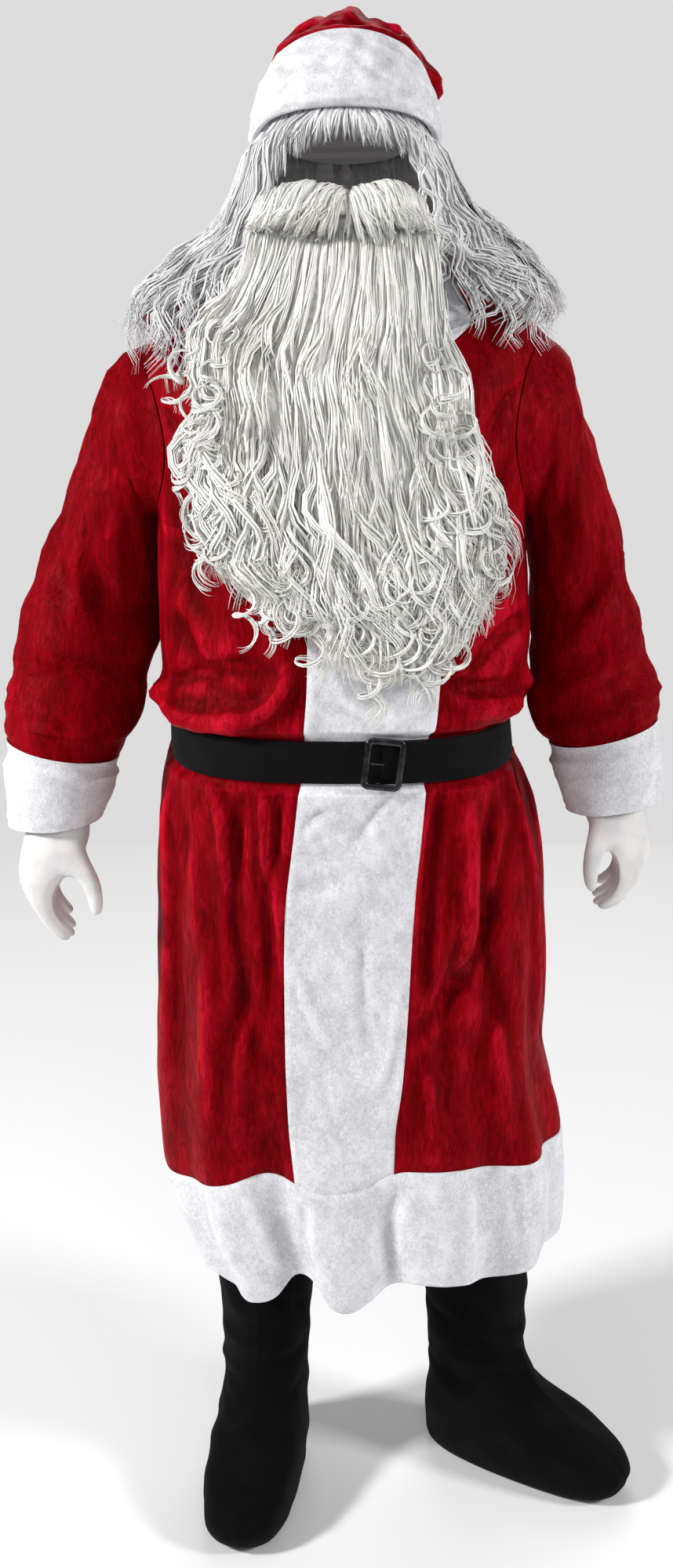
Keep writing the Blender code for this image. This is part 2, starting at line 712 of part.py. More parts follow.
def band_surface(angle, share):
    x, y = ring_point(*row_at(BAND_RINGS, share), angle)
    c = math.cos(math.radians(angle))
    tall = mix(BAND_TALL[1], BAND_TALL[0] if c > 0 else BAND_TALL[2], abs(c) ** 1.5)
    return Vector((x, y, BAND_LOW_SIDE + BAND_LOW_TILT * c + tall * share))


def crown_section(row, angle):
    x, y, z, half_width, half_depth = row_at(CROWN_SECTIONS, row)
    ahead = Vector(row_at(CROWN_SECTIONS, row + 0.05)[:3])
    behind = Vector(row_at(CROWN_SECTIONS, row - 0.05)[:3])
    along = (ahead - behind).normalized()
    if row < 3:
        along = Vector((0, 0.53, 0.85)).lerp(along, max(row - 2, 0)).normalized()
    side = (Vector((1, 0, 0)) - along * along.x).normalized()
    deep = along.cross(side)
    s, c = math.sin(math.radians(angle)), math.cos(math.radians(angle))
    return Vector((x, y, z)) + side * s * half_width - deep * c * half_depth


def inside_band(angle, share):
    around_it = band_surface(angle + 0.5, share) - band_surface(angle - 0.5, share)
    up_it = band_surface(angle, min(share + 0.02, 1.0)) - band_surface(angle, share - 0.02)
    return band_surface(angle, share) - around_it.cross(up_it).normalized() * (BAND_THICK + CROWN_CLEAR)


def crown_surface(u, v):
    angle = 360.0 * u / HAT_COLUMNS
    if v <= 1.0:
        return inside_band(angle, mix(CROWN_FROM, 1.0, v))
    if v < 2.0:
        return inside_band(angle, 1.0).lerp(crown_section(2, angle), v - 1.0)
    return crown_section(v, angle)


CROWN_ROWS = 9
wall("hat_band", lambda u, v: band_surface(360.0 * u / HAT_COLUMNS, v / BAND_ROWS),
     HAT_COLUMNS, BAND_ROWS, BAND_THICK, WHITE_PLUSH, loop=True)


def capped_tube(name, surface, across, along, thickness, material):
    """A wall that is open at row 0 and closed flat at its last row by an end of its own thickness."""
    piece = wall(name, surface, across, along, thickness, material, loop=True)
    shape = bmesh.new()
    shape.from_mesh(piece.data)
    shape.verts.ensure_lookup_table()
    count = across
    back = count * (along + 1)
    rims = [[shape.verts[start + along * count + i] for i in range(count)] for start in (0, back)]
    ring_faces = [f for f in shape.faces if all(v in rims[0] or v in rims[1] for v in f.verts)]
    bmesh.ops.delete(shape, geom=ring_faces, context="FACES_ONLY")
    before = [shape.verts[back + (along - 1) * count + i] for i in range(count)]
    inward = sum((v.co for v in before), Vector()) - sum((v.co for v in rims[1]), Vector())
    for v in rims[1]:
        v.co += inward.normalized() * thickness
    shape.faces.new(rims[0])
    shape.faces.new(rims[1])
    bmesh.ops.recalc_face_normals(shape, faces=shape.faces)
    shape.to_mesh(piece.data)
    shape.free()
    return piece


capped_tube("hat_crown", crown_surface, HAT_COLUMNS, CROWN_ROWS, CLOTH, RED_VELVET)


# Wig: side curtains that spread on the robe's shoulders, and a fringe under the hat's band
WIG_COLUMNS = 26
WIG_ROWS = 9
FRINGE_COLUMNS = 8
FRINGE_ROWS = 3
HAIR_THICK = 0.006
LOCK_RIDGE = 0.0045
WIG_OPENING_ANGLE = 37.0
FRINGE_ANGLE = 36.2
WIG_TOP = 1.730
WIG_UNDER_HAT = 1.703
WIG_FREE_TOP = 1.690
WIG_RINGS = (
    # height, left, right, front, back
    (1.44, -0.248, 0.262, 0.135, 0.1565),
    (1.50, -0.244, 0.260, 0.130, 0.1465),
    (1.542, -0.226, 0.252, 0.112, 0.137),
    (1.575, -0.190, 0.226, 0.098, 0.138),
    (1.600, -0.160, 0.194, 0.092, 0.128),
    (1.622, -0.137, 0.172, 0.092, 0.122),
    (1.650, -0.119, 0.146, 0.096, 0.118),
    (1.675, -0.109, 0.131, 0.102, 0.114),
    (1.690, -0.103, 0.123, 0.108, 0.107),
    (1.703, -0.0878, 0.1078, 0.1046, 0.0929),
    (1.760, -0.0853, 0.1053, 0.0976, 0.0904),
)
WIG_EDGE = (
    # angle, height of the hair's lower edge
    (30, 1.596),
    (40, 1.574),
    (52, 1.552),
    (65, 1.538),
    (90, 1.530),
    (120, 1.500),
    (150, 1.470),
    (180, 1.445),
    (210, 1.455),
    (240, 1.480),
    (270, 1.508),
    (300, 1.510),
    (315, 1.522),
    (330, 1.545),
)
WIG_TIPS = 0.010
FRINGE_LOW = 1.679


def wig_surface(angle, height):
    """Outside of the hair; the rows under the hat follow the hat's tilt."""
    left, right, front, back = row_at(WIG_RINGS, height)
    x, y = ring_point(left, right, front, back, angle)
    tilt = BAND_LOW_TILT * math.cos(math.radians(angle)) * ease((height - 1.60) / 0.10)
    return Vector((x, y, height + tilt))


def locks(u, height):
    """Ridges of hair: out on even columns, in on odd ones, none under the hat."""
    return LOCK_RIDGE * math.cos(math.pi * u) * ease((WIG_FREE_TOP - height) / 0.03)


def wig_height(low, v, rows):
    """Row heights: the top row and the next are under the hat, the third is its free top."""
    if v >= rows - 1:
        return mix(WIG_UNDER_HAT, WIG_TOP, v - (rows - 1))
    if v >= rows - 2:
        return mix(WIG_FREE_TOP, WIG_UNDER_HAT, v - (rows - 2))
    return mix(low, WIG_FREE_TOP, v / (rows - 2))


def curtain(u, v):
    angle = mix(WIG_OPENING_ANGLE, 360 - WIG_OPENING_ANGLE, u / WIG_COLUMNS)
    low = row_at(WIG_EDGE, angle)[0] - WIG_TIPS * math.cos(math.pi * u)
    height = wig_height(low, v, WIG_ROWS)
    return moved_out(wig_surface(angle, height), angle, locks(u, height))


def fringe(u, v):
    angle = mix(-FRINGE_ANGLE, FRINGE_ANGLE, u / FRINGE_COLUMNS)
    height = wig_height(FRINGE_LOW - 0.5 * WIG_TIPS * math.cos(math.pi * u), v, FRINGE_ROWS)
    return moved_out(wig_surface(angle, height), angle, 0.5 * locks(u, height))


wall("wig", curtain, WIG_COLUMNS, WIG_ROWS, HAIR_THICK, WHITE_HAIR)
wall("wig_fringe", fringe, FRINGE_COLUMNS, FRINGE_ROWS, HAIR_THICK - 0.002, WHITE_HAIR)


# Beard: a fall of curls on the chest, and the moustache rolled across its top
BEARD_COLUMNS = 16
BEARD_ROWS = 15
BEARD_TOP = 1.630
BEARD_SIDES_TO = 1.262
BEARD_SIDES = (
    # height, left, right
    (1.262, -0.136, 0.188),
    (1.283, -0.142, 0.196),
    (1.320, -0.152, 0.184),
    (1.368, -0.164, 0.168),
    (1.400, -0.170, 0.158),
    (1.450, -0.158, 0.143),
    (1.485, -0.164, 0.135),
    (1.510, -0.160, 0.126),
    (1.545, -0.132, 0.119),
    (1.580, -0.110, 0.114),
    (1.630, -0.090, 0.104),
)
BEARD_EDGE = (
    # share of the width from the left, height of the lower edge
    (0.00, 1.262),
    (0.10, 1.222),
    (0.20, 1.198),
    (0.32, 1.176),
    (0.44, 1.140),
    (0.53, 1.121),
    (0.65, 1.126),
    (0.78, 1.142),
    (0.88, 1.178),
    (1.00, 1.252),
)
HANG_FRONT = (
    # height, how far forward the beard stands where it hangs free of the chest
    (1.10, 0.196),
    (1.30, 0.204),
    (1.42, 0.194),
    (1.50, 0.172),
    (1.58, 0.150),
    (1.63, 0.128),
)
HANG_MIDDLE = 0.012
HANG_ROUND = 3.6
BEARD_THICK = 0.012
BEARD_EDGE_THICK = 0.006
BEARD_RIDGE = 0.005
BEARD_TIPS = 0.010
BEARD_CURLS = 0.008
CHEST_CLEAR = 0.0015
COLLAR_ROOM = 0.013
COLLAR_LOW = 1.39
MOUSTACHE_PATH = (
    # share from left to right, x, z, thickness, height
    (0.00, -0.092, 1.624, 0.010, 0.010),
    (0.15, -0.074, 1.640, 0.020, 0.024),
    (0.32, -0.034, 1.648, 0.026, 0.034),
    (0.46, 0.004, 1.645, 0.020, 0.028),
    (0.50, 0.0125, 1.643, 0.016, 0.022),
    (0.54, 0.021, 1.645, 0.020, 0.028),
    (0.68, 0.058, 1.648, 0.026, 0.034),
    (0.85, 0.086, 1.640, 0.020, 0.024),
    (1.00, 0.100, 1.624, 0.010, 0.010),
)
MOUSTACHE_CLEAR = 0.0005
MOUSTACHE_COLUMNS = 14
MOUSTACHE_SIDES = 8


def beard_surface(u, v):
    """Row 0 is the lower edge. The beard lies on the chest and hangs free above it."""
    across, up = u / BEARD_COLUMNS, v / BEARD_ROWS
    tip = BEARD_TIPS * math.cos(math.pi * u) * (1 - up) ** 3
    height = mix(row_at(BEARD_EDGE, across)[0] - tip, BEARD_TOP, up)
    left, right = row_at(BEARD_SIDES, mix(BEARD_SIDES_TO, BEARD_TOP, up))
    curl = BEARD_CURLS * math.cos(math.pi * v) * ease((0.85 - up) / 0.3)
    x = mix(left - curl, right + curl, across)
    forward = row_at(HANG_FRONT, height)[0] - HANG_ROUND * (x - HANG_MIDDLE) ** 2
    chest = min(height, NECK_FRONT)
    on_chest = -robe_surface(angle_at(x, chest), chest).y + BEARD_THICK + CHEST_CLEAR
    forward = max(forward, on_chest + COLLAR_ROOM * ease((height - COLLAR_LOW) / 0.05))
    ridge = BEARD_RIDGE * math.cos(math.pi * (u + 1)) * ease((1 - up) * 4)
    return Vector((x, -forward - ridge - BEARD_RIDGE, height))


def beard_thickness(u, v):
    return mix(BEARD_EDGE_THICK, BEARD_THICK, ease(4 * min(u, BEARD_COLUMNS - u) / BEARD_COLUMNS))


wall("beard", beard_surface, BEARD_COLUMNS, BEARD_ROWS, beard_thickness, WHITE_HAIR)


def moustache():
    points, faces = [], []
    n = MOUSTACHE_SIDES
    for i in range(MOUSTACHE_COLUMNS + 1):
        x, z, thick, tall = row_at(MOUSTACHE_PATH, i / MOUSTACHE_COLUMNS)
        left, right = BEARD_SIDES[-1][1:]
        along_top = (x - left) / (right - left) * BEARD_COLUMNS
        y = beard_surface(along_top, BEARD_ROWS).y - thick / 2 - MOUSTACHE_CLEAR
        for k in range(n):
            a = 2 * math.pi * k / n
            points.append(Vector((x, y - thick / 2 * math.cos(a), z + tall / 2 * math.sin(a))))
    for i in range(MOUSTACHE_COLUMNS):
        for k in range(n):
            a, b = i * n + k, i * n + (k + 1) % n
            faces.append((a, a + n, b + n, b))
    faces.append(tuple(range(n)))
    faces.append(tuple(reversed(range(MOUSTACHE_COLUMNS * n, (MOUSTACHE_COLUMNS + 1) * n))))
    return add_mesh("moustache", points, faces, WHITE_HAIR)


moustache()


# Boot covers: a cloth leg that runs into a soft foot, open at the top under the skirt
BOOT_COLUMNS = 18
BOOT_SECTIONS = (
    # height, heel behind the leg's middle, toe in front of it, half width
    (0.000, 0.050, 0.205, 0.046),
    (0.012, 0.060, 0.226, 0.056),
    (0.035, 0.064, 0.232, 0.060),
    (0.062, 0.064, 0.212, 0.061),
    (0.088, 0.063, 0.164, 0.059),
    (0.112, 0.062, 0.118, 0.057),
    (0.140, 0.061, 0.086, 0.056),
    (0.190, 0.063, 0.072, 0.058),
    (0.270, 0.070, 0.074, 0.063),
    (0.360, 0.077, 0.078, 0.067),
    (0.460, 0.080, 0.080, 0.070),
)
BOOTS = (
    # name, leg's middle x and y, turn of the toe towards the right in degrees
    ("boot_right", -0.094, -0.010, -8.0),
    ("boot_left", 0.186, 0.000, 58.0),
)
TOE_SPREAD = 0.12
TOE_BLUNT = 0.20


def boot_surface(x, y, turn):
    place = Matrix.Translation((x, y, 0)) @ Matrix.Rotation(math.radians(turn), 4, "Z")

    def surface(u, v):
        key = BOOT_SECTIONS[int(v)][0] if v == int(v) else mix(
            BOOT_SECTIONS[int(v)][0], BOOT_SECTIONS[int(v) + 1][0], v - int(v))
        heel, toe, half_width = row_at(BOOT_SECTIONS, key)
        a = 2 * math.pi * u / BOOT_COLUMNS
        s, c = math.sin(a), math.cos(a)
        widest = (heel - toe) / 2 * 0.6
        in_foot = ease((toe - 0.10) / 0.10)
        spread = (1 + TOE_SPREAD * c * in_foot) * (1 + TOE_BLUNT * c * c * in_foot)
        along = (toe + widest if c > 0 else heel - widest) * c * (1 + TOE_BLUNT * s * s * in_foot)
        return place @ Vector((half_width * s * spread, widest - along, key))

    return surface


for name, x, y, turn in BOOTS:
    rows = len(BOOT_SECTIONS) - 1
    boot = boot_surface(x, y, turn)
    capped_tube(name, lambda u, v: boot(-u, rows - v), BOOT_COLUMNS, rows, CLOTH, BLACK_CLOTH)


# Gloves: cotton jersey, one body each, the fingers curled a little towards the palm
GLOVE_CLOTH = 0.0012
FINGERS = 4
FINGER_GAP = 0.0008
FINGER_SHARES = (0.94, 1.00, 0.96, 0.80)
FINGER_JOINTS = (
    # length, half thickness, share of the finger's width
    (0.035, 0.0095, 1.00),
    (0.027, 0.0085, 0.94),
    (0.020, 0.0060, 0.70),
)
GLOVE_RIGHT = (
    # height, outer x, inner x, front y, back y, rounding of the two flat sides
    (0.972, 0.366, 0.300, -0.1080, -0.0540, 0.020),
    (0.940, 0.370, 0.296, -0.1100, -0.0520, 0.018),
    (0.908, 0.380, 0.296, -0.1220, -0.0480, 0.012),
    (0.880, 0.386, 0.316, -0.1290, -0.0420, 0.009),
    (0.860, 0.382, 0.336, -0.1310, -0.0410, 0.006),
)
GLOVE_LEFT = (
    (1.004, 0.362, 0.298, -0.1042, -0.0502, 0.020),
    (0.970, 0.366, 0.296, -0.1062, -0.0482, 0.018),
    (0.938, 0.376, 0.296, -0.1182, -0.0442, 0.012),
    (0.912, 0.380, 0.318, -0.1252, -0.0382, 0.009),
    (0.893, 0.376, 0.334, -0.1272, -0.0372, 0.006),
)
THUMB_RIGHT = (
    # x, y, height, half width
    (0.294, -0.1200, 0.874, 0.0115),
    (0.288, -0.1240, 0.850, 0.0100),
    (0.286, -0.1260, 0.828, 0.0065),
)
THUMB_LEFT = (
    (0.305, -0.1182, 0.904, 0.0115),
    (0.302, -0.1222, 0.880, 0.0100),
    (0.304, -0.1252, 0.858, 0.0065),
)
THUMB_ROW = 2
THUMB_TILT = 0.3


def tube(shape, base, rings):
    """Joins a four-sided base to rings of four and closes the last one."""
    for near, far in zip([base] + rings, rings):
        for k in range(4):
            m = (k + 1) % 4
            shape.faces.new((near[k], near[m], far[m], far[k]))
    shape.faces.new(rings[-1])


def finger(shape, side, base, share, bends):
    """A tube of three joints from its four points at the knuckle, each bent towards the palm."""
    centre = sum((v.co for v in base), Vector()) / 4
    half_wide = abs(base[0].co.y - base[1].co.y) / 2 - FINGER_GAP
    rings = []
    for (length, half_thick, wide_share), degrees in zip(FINGER_JOINTS, bends):
        bend = math.radians(degrees)
        centre = centre + Vector((-side * math.sin(bend), 0, -math.cos(bend))) * length * share
        out = Vector((side * math.cos(bend), 0, -math.sin(bend))) * half_thick
        wide = Vector((0, half_wide * wide_share, 0))
        corners = (out - wide, out + wide, wide - out, -wide - out)
        rings.append([shape.verts.new(centre + q) for q in corners])
    tube(shape, base, rings)


def thumb(shape, side, base, joints):
    rings = []
    for x, y, height, half in joints:
        low, high = (side, -THUMB_TILT), (-side, THUMB_TILT)
        corners = [(a, b, c) for (a, c), b in ((high, -1), (high, 1), (low, 1), (low, -1))]
        rings.append([shape.verts.new(Vector((side * x, y, height)) + Vector(q) * half) for q in corners])
    tube(shape, base, rings)


def glove(name, side, palm, thumb_joints, bends):
    """A coarse cage of the glove, rounded by subdivision and given its cloth's thickness inward."""
    shape = bmesh.new()
    rows = []
    for height, outer, inner, front, back, rounding in palm:
        dorsal, palmar = [], []
        for w in range(FINGERS + 1):
            flatter = rounding * (2 * w / FINGERS - 1) ** 2
            y = mix(front, back, w / FINGERS)
            dorsal.append(shape.verts.new((side * (outer - flatter), y, height)))
            palmar.append(shape.verts.new((side * (inner + flatter), y, height)))
        rows.append((dorsal, palmar))
    for k in range(len(rows) - 1):
        (dorsal, palmar), (dorsal_below, palmar_below) = rows[k], rows[k + 1]
        for w in range(FINGERS):
            shape.faces.new((dorsal[w], dorsal[w + 1], dorsal_below[w + 1], dorsal_below[w]))
            cell = [palmar[w], palmar[w + 1], palmar_below[w + 1], palmar_below[w]]
            if k == THUMB_ROW and w == 0:
                thumb(shape, side, cell, thumb_joints)
            else:
                shape.faces.new(cell)
        for w in (0, FINGERS):
            shape.faces.new((dorsal[w], dorsal_below[w], palmar_below[w], palmar[w]))
    dorsal, palmar = rows[-1]
    for w in range(FINGERS):
        finger(shape, side, [dorsal[w], dorsal[w + 1], palmar[w + 1], palmar[w]], FINGER_SHARES[w], bends)
    bmesh.ops.recalc_face_normals(shape, faces=shape.faces)
    mesh = bpy.data.meshes.new(name)
    shape.to_mesh(mesh)
    shape.free()
    mesh.shade_smooth()
    mesh.materials.append(WHITE_COTTON)
    piece = bpy.data.objects.new(name, mesh)
    piece.parent = frame
    bpy.context.collection.objects.link(piece)
    rounded = piece.modifiers.new("rounded", "SUBSURF")
    rounded.levels = rounded.render_levels = 1
    cloth = piece.modifiers.new("cloth", "SOLIDIFY")
    cloth.thickness = GLOVE_CLOTH
    cloth.offset = -1
    return piece


glove("glove_right", -1, GLOVE_RIGHT, THUMB_RIGHT, (15, 35, 52))
glove("glove_left", 1, GLOVE_LEFT, THUMB_LEFT, (12, 42, 74))
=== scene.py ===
"""Santa suit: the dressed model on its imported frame. Metres, row frame, floor at -1.50."""

import math

import bmesh
import bpy
import numpy as np
from mathutils import Matrix, Vector


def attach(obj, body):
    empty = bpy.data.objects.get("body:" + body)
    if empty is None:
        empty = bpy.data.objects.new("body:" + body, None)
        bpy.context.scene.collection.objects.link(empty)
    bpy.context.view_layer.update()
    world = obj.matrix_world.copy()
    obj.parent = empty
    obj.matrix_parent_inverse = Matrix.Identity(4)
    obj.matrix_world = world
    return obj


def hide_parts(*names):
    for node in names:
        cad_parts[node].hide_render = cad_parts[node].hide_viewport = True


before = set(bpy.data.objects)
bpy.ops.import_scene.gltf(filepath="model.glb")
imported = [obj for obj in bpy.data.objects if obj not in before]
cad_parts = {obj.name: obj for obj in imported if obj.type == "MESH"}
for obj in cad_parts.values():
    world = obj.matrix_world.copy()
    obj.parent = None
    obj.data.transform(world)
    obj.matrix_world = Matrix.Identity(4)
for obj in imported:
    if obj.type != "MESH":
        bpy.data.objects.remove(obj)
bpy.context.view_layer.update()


# Camera, floor and light: a camera 1.62 m up and 2.2 m in front, pitched down, a pale floor and
# soft lights: a strong one from the left, a weaker one from the right, one in front and one behind.
SHOULDER_LINE = 1.50
CAMERA_HEIGHT = 1.62
CAMERA_DISTANCE = 2.2
CAMERA_PITCH = 16.8
CAMERA_LENS = 42.39
ROOM_STRENGTH = 0.15
BACKDROP_STRENGTH = 0.90
LAMPS = (
    # name, place, what it points at, size, power
    ("key", (-3.2, -1.3, 1.3), (0, 0, -0.4), 0.6, 166),
    ("fill", (3.2, -1.2, 0.9), (0, 0, -0.6), 0.8, 82),
    ("front", (0.3, -3.6, 1.6), (0, 0, -0.6), 1.2, 22),
    ("back", (0.4, 3.0, 1.4), (0, 0, -0.3), 2.5, 60),
)
FLOOR_HALF = 2.6
FLOOR_BELOW = 0.0005
FLOOR_GREY = 0.86


def put(name, data, place=(0.0, 0.0, 0.0)):
    """Stands a camera, a lamp or a mesh in the scene."""
    thing = bpy.data.objects.new(name, data)
    thing.location = place
    bpy.context.collection.objects.link(thing)
    return thing


def feed(tree, node, inputs):
    """Sets a node's inputs, or links them to the sockets that feed them."""
    for key, value in inputs.items():
        if isinstance(value, bpy.types.NodeSocket):
            tree.links.new(value, node.inputs[key])
        else:
            node.inputs[key].default_value = value


def add_node(tree, kind, inputs=None, **settings):
    """A shader node with its settings and its inputs."""
    node = tree.nodes.new(kind)
    for key, value in settings.items():
        setattr(node, key, value)
    feed(tree, node, inputs or {})
    return node


def new_finish(name):
    finish = bpy.data.materials.new(name)
    finish.use_nodes = True
    return finish, finish.node_tree, finish.node_tree.nodes["Principled BSDF"]


lens = bpy.data.cameras.new("photo_camera")
lens.lens = CAMERA_LENS
camera = put("photo_camera", lens, (0.0, -CAMERA_DISTANCE, CAMERA_HEIGHT - SHOULDER_LINE))
camera.rotation_euler = (math.radians(90 - CAMERA_PITCH), 0, 0)
bpy.context.scene.camera = camera

world = bpy.data.worlds.new("studio")
bpy.context.scene.world = world
world.use_nodes = True
studio = world.node_tree
room = studio.nodes["Background"]
feed(studio, room, {"Color": (1.0, 1.0, 1.0, 1.0), "Strength": ROOM_STRENGTH})
backdrop = add_node(studio, "ShaderNodeBackground", {"Strength": BACKDROP_STRENGTH})
seen = add_node(studio, "ShaderNodeLightPath").outputs["Is Camera Ray"]
either = add_node(studio, "ShaderNodeMixShader", {0: seen, 1: room.outputs[0], 2: backdrop.outputs[0]})
feed(studio, studio.nodes["World Output"], {"Surface": either.outputs[0]})
bpy.context.scene.view_settings.view_transform = "Standard"

for lamp_name, place, aim, size, power in LAMPS:
    light = bpy.data.lights.new(lamp_name, "AREA")
    light.size = size
    light.energy = power
    lamp = put(lamp_name, light, place)
    lamp.rotation_euler = (Vector(aim) - Vector(place)).to_track_quat("-Z", "Y").to_euler()

floor_shape = bmesh.new()
bmesh.ops.create_grid(floor_shape, x_segments=2, y_segments=2, size=FLOOR_HALF)
floor_mesh = bpy.data.meshes.new("floor")
floor_shape.to_mesh(floor_mesh)
floor_shape.free()
floor_finish, floor_tree, floor_shader = new_finish("pale_floor")
feed(floor_tree, floor_shader, {"Base Color": (FLOOR_GREY, FLOOR_GREY, FLOOR_GREY, 1.0), "Roughness": 0.9})
floor_mesh.materials.append(floor_finish)
floor = put("floor", floor_mesh, (0.0, 0.0, -SHOULDER_LINE - FLOOR_BELOW))


# Robe: red crushed velvet, two front panels and a back sewn at the sides and shoulders, drawn in
# by the belt. The cloth blouses over the belt and falls in long folds to the hem seam.
ROBE_RINGS = (
    # height, x of the sides on the left and right, depths to the front and back
    (0.30, -0.160, 0.262, 0.150, 0.165),
    (0.33, -0.175, 0.280, 0.155, 0.170),
    (0.39, -0.202, 0.294, 0.158, 0.175),
    (0.46, -0.220, 0.293, 0.160, 0.176),
    (0.53, -0.226, 0.284, 0.163, 0.174),
    (0.60, -0.229, 0.268, 0.168, 0.172),
    (0.70, -0.229, 0.262, 0.176, 0.168),
    (0.85, -0.226, 0.254, 0.190, 0.162),
    (0.95, -0.219, 0.234, 0.199, 0.155),
    (1.01, -0.208, 0.218, 0.203, 0.148),
    (1.06, -0.207, 0.210, 0.206, 0.146),
    (1.09, -0.210, 0.222, 0.207, 0.148),
    (1.15, -0.213, 0.232, 0.205, 0.154),
    (1.22, -0.214, 0.228, 0.196, 0.160),
    (1.30, -0.214, 0.224, 0.184, 0.162),
    (1.38, -0.216, 0.224, 0.170, 0.158),
    (1.45, -0.224, 0.230, 0.148, 0.146),
    (1.50, -0.222, 0.228, 0.112, 0.118),
    (1.525, -0.176, 0.182, 0.088, 0.098),
    (1.55, -0.124, 0.130, 0.072, 0.082),
    (1.575, -0.078, 0.084, 0.064, 0.070),
)
SQUARENESS = 0.22
PLACKET_EDGES = (
    # height, left edge, right edge of the white centre-front strip
    (0.45, -0.050, 0.072),
    (0.55, -0.058, 0.075),
    (0.70, -0.062, 0.084),
    (0.85, -0.060, 0.091),
    (0.96, -0.048, 0.099),
    (1.06, -0.038, 0.108),
    (1.15, -0.033, 0.118),
    (1.30, -0.036, 0.110),
    (1.50, -0.050, 0.078),
)
HEM_SEAM = (
    # angle from the front, height of the seam between red cloth and white hem band
    (-90, 0.458),
    (-60, 0.462),
    (-35, 0.478),
    (-24, 0.494),
    (-10, 0.476),
    (0, 0.480),
    (10, 0.504),
    (40, 0.498),
    (90, 0.504),
    (135, 0.485),
    (180, 0.480),
    (225, 0.474),
    (270, 0.458),
)
HEM_EDGE = (
    # angle from the front, height of the lower edge
    (-90, 0.330),
    (-52, 0.303),
    (-38, 0.306),
    (-30, 0.316),
    (-24, 0.342),
    (-19, 0.338),
    (-12, 0.307),
    (-5, 0.307),
    (3, 0.335),
    (13, 0.343),
    (32, 0.337),
    (50, 0.347),
    (71, 0.352),
    (90, 0.362),
    (120, 0.340),
    (150, 0.326),
    (180, 0.336),
    (210, 0.324),
    (240, 0.334),
    (270, 0.330),
)
SKIRT_FOLDS = (
    # angle, half width in degrees, depth outward at the hem, height where the fold starts
    (-72, 9, 0.008, 0.96),
    (-54, 7, -0.008, 0.84),
    (-38, 9, 0.012, 0.90),
    (-22, 6, -0.020, 0.66),
    (-9, 7, 0.012, 0.66),
    (4, 5, -0.012, 0.62),
    (18, 8, 0.009, 0.90),
    (33, 7, -0.012, 0.98),
    (48, 9, 0.010, 0.92),
    (63, 7, -0.010, 0.95),
    (78, 8, 0.008, 0.90),
    (108, 9, 0.012, 0.92),
    (128, 8, -0.014, 0.88),
    (147, 9, 0.014, 0.95),
    (166, 8, -0.012, 0.80),
    (184, 9, 0.012, 0.95),
    (204, 8, -0.014, 0.86),
    (223, 9, 0.012, 0.92),
    (244, 8, -0.012, 0.90),
    (262, 8, 0.006, 0.80),
)
HEM_REFERENCE = 0.34
HEM_ROW = 0.48
HEM_DRAWN = 0.18
NECK_SIDE = 1.575
NECK_FRONT = 1.505
NECK_CURVE = 2.5
FRONT_EASES_FROM = 1.15
SHOULDER_RISE = 0.055
ARMPIT = 1.30
ARMHOLE_TOP = 1.50
ARMHOLE_ANGLE = 33.0
ARMHOLE_ROWS = 8
BELT_HEIGHT = 1.040
BELT_PINCH = 0.009
PINCH_HALF = 0.027
PINCH_EASE = 0.012
FLAT_HALF = 0.026
FLAT_EASE = 0.016
SIDE_COLUMNS = 9
PLACKET_COLUMNS = 5
BACK_COLUMNS = 16
PLACKET_START = SIDE_COLUMNS
PLACKET_END = PLACKET_START + PLACKET_COLUMNS
FRONT_END = PLACKET_END + SIDE_COLUMNS
ROUND_COLUMNS = FRONT_END + BACK_COLUMNS
SKIRT_ROWS = (HEM_ROW, 0.56, 0.65, 0.75, 0.85, 0.94, 1.000, 1.013, 1.067, 1.080, 1.14, 1.22, ARMPIT)
SHOULDER_ROWS = (1.54, NECK_SIDE)
ROBE_FINE = 9
PANEL_FINE = 8
BACK_FINE = 7
JUST_PAST_SEAM = 1e-6
HALVINGS = 30
CLOTH = 0.0014
SEAM_SINK = 0.0014
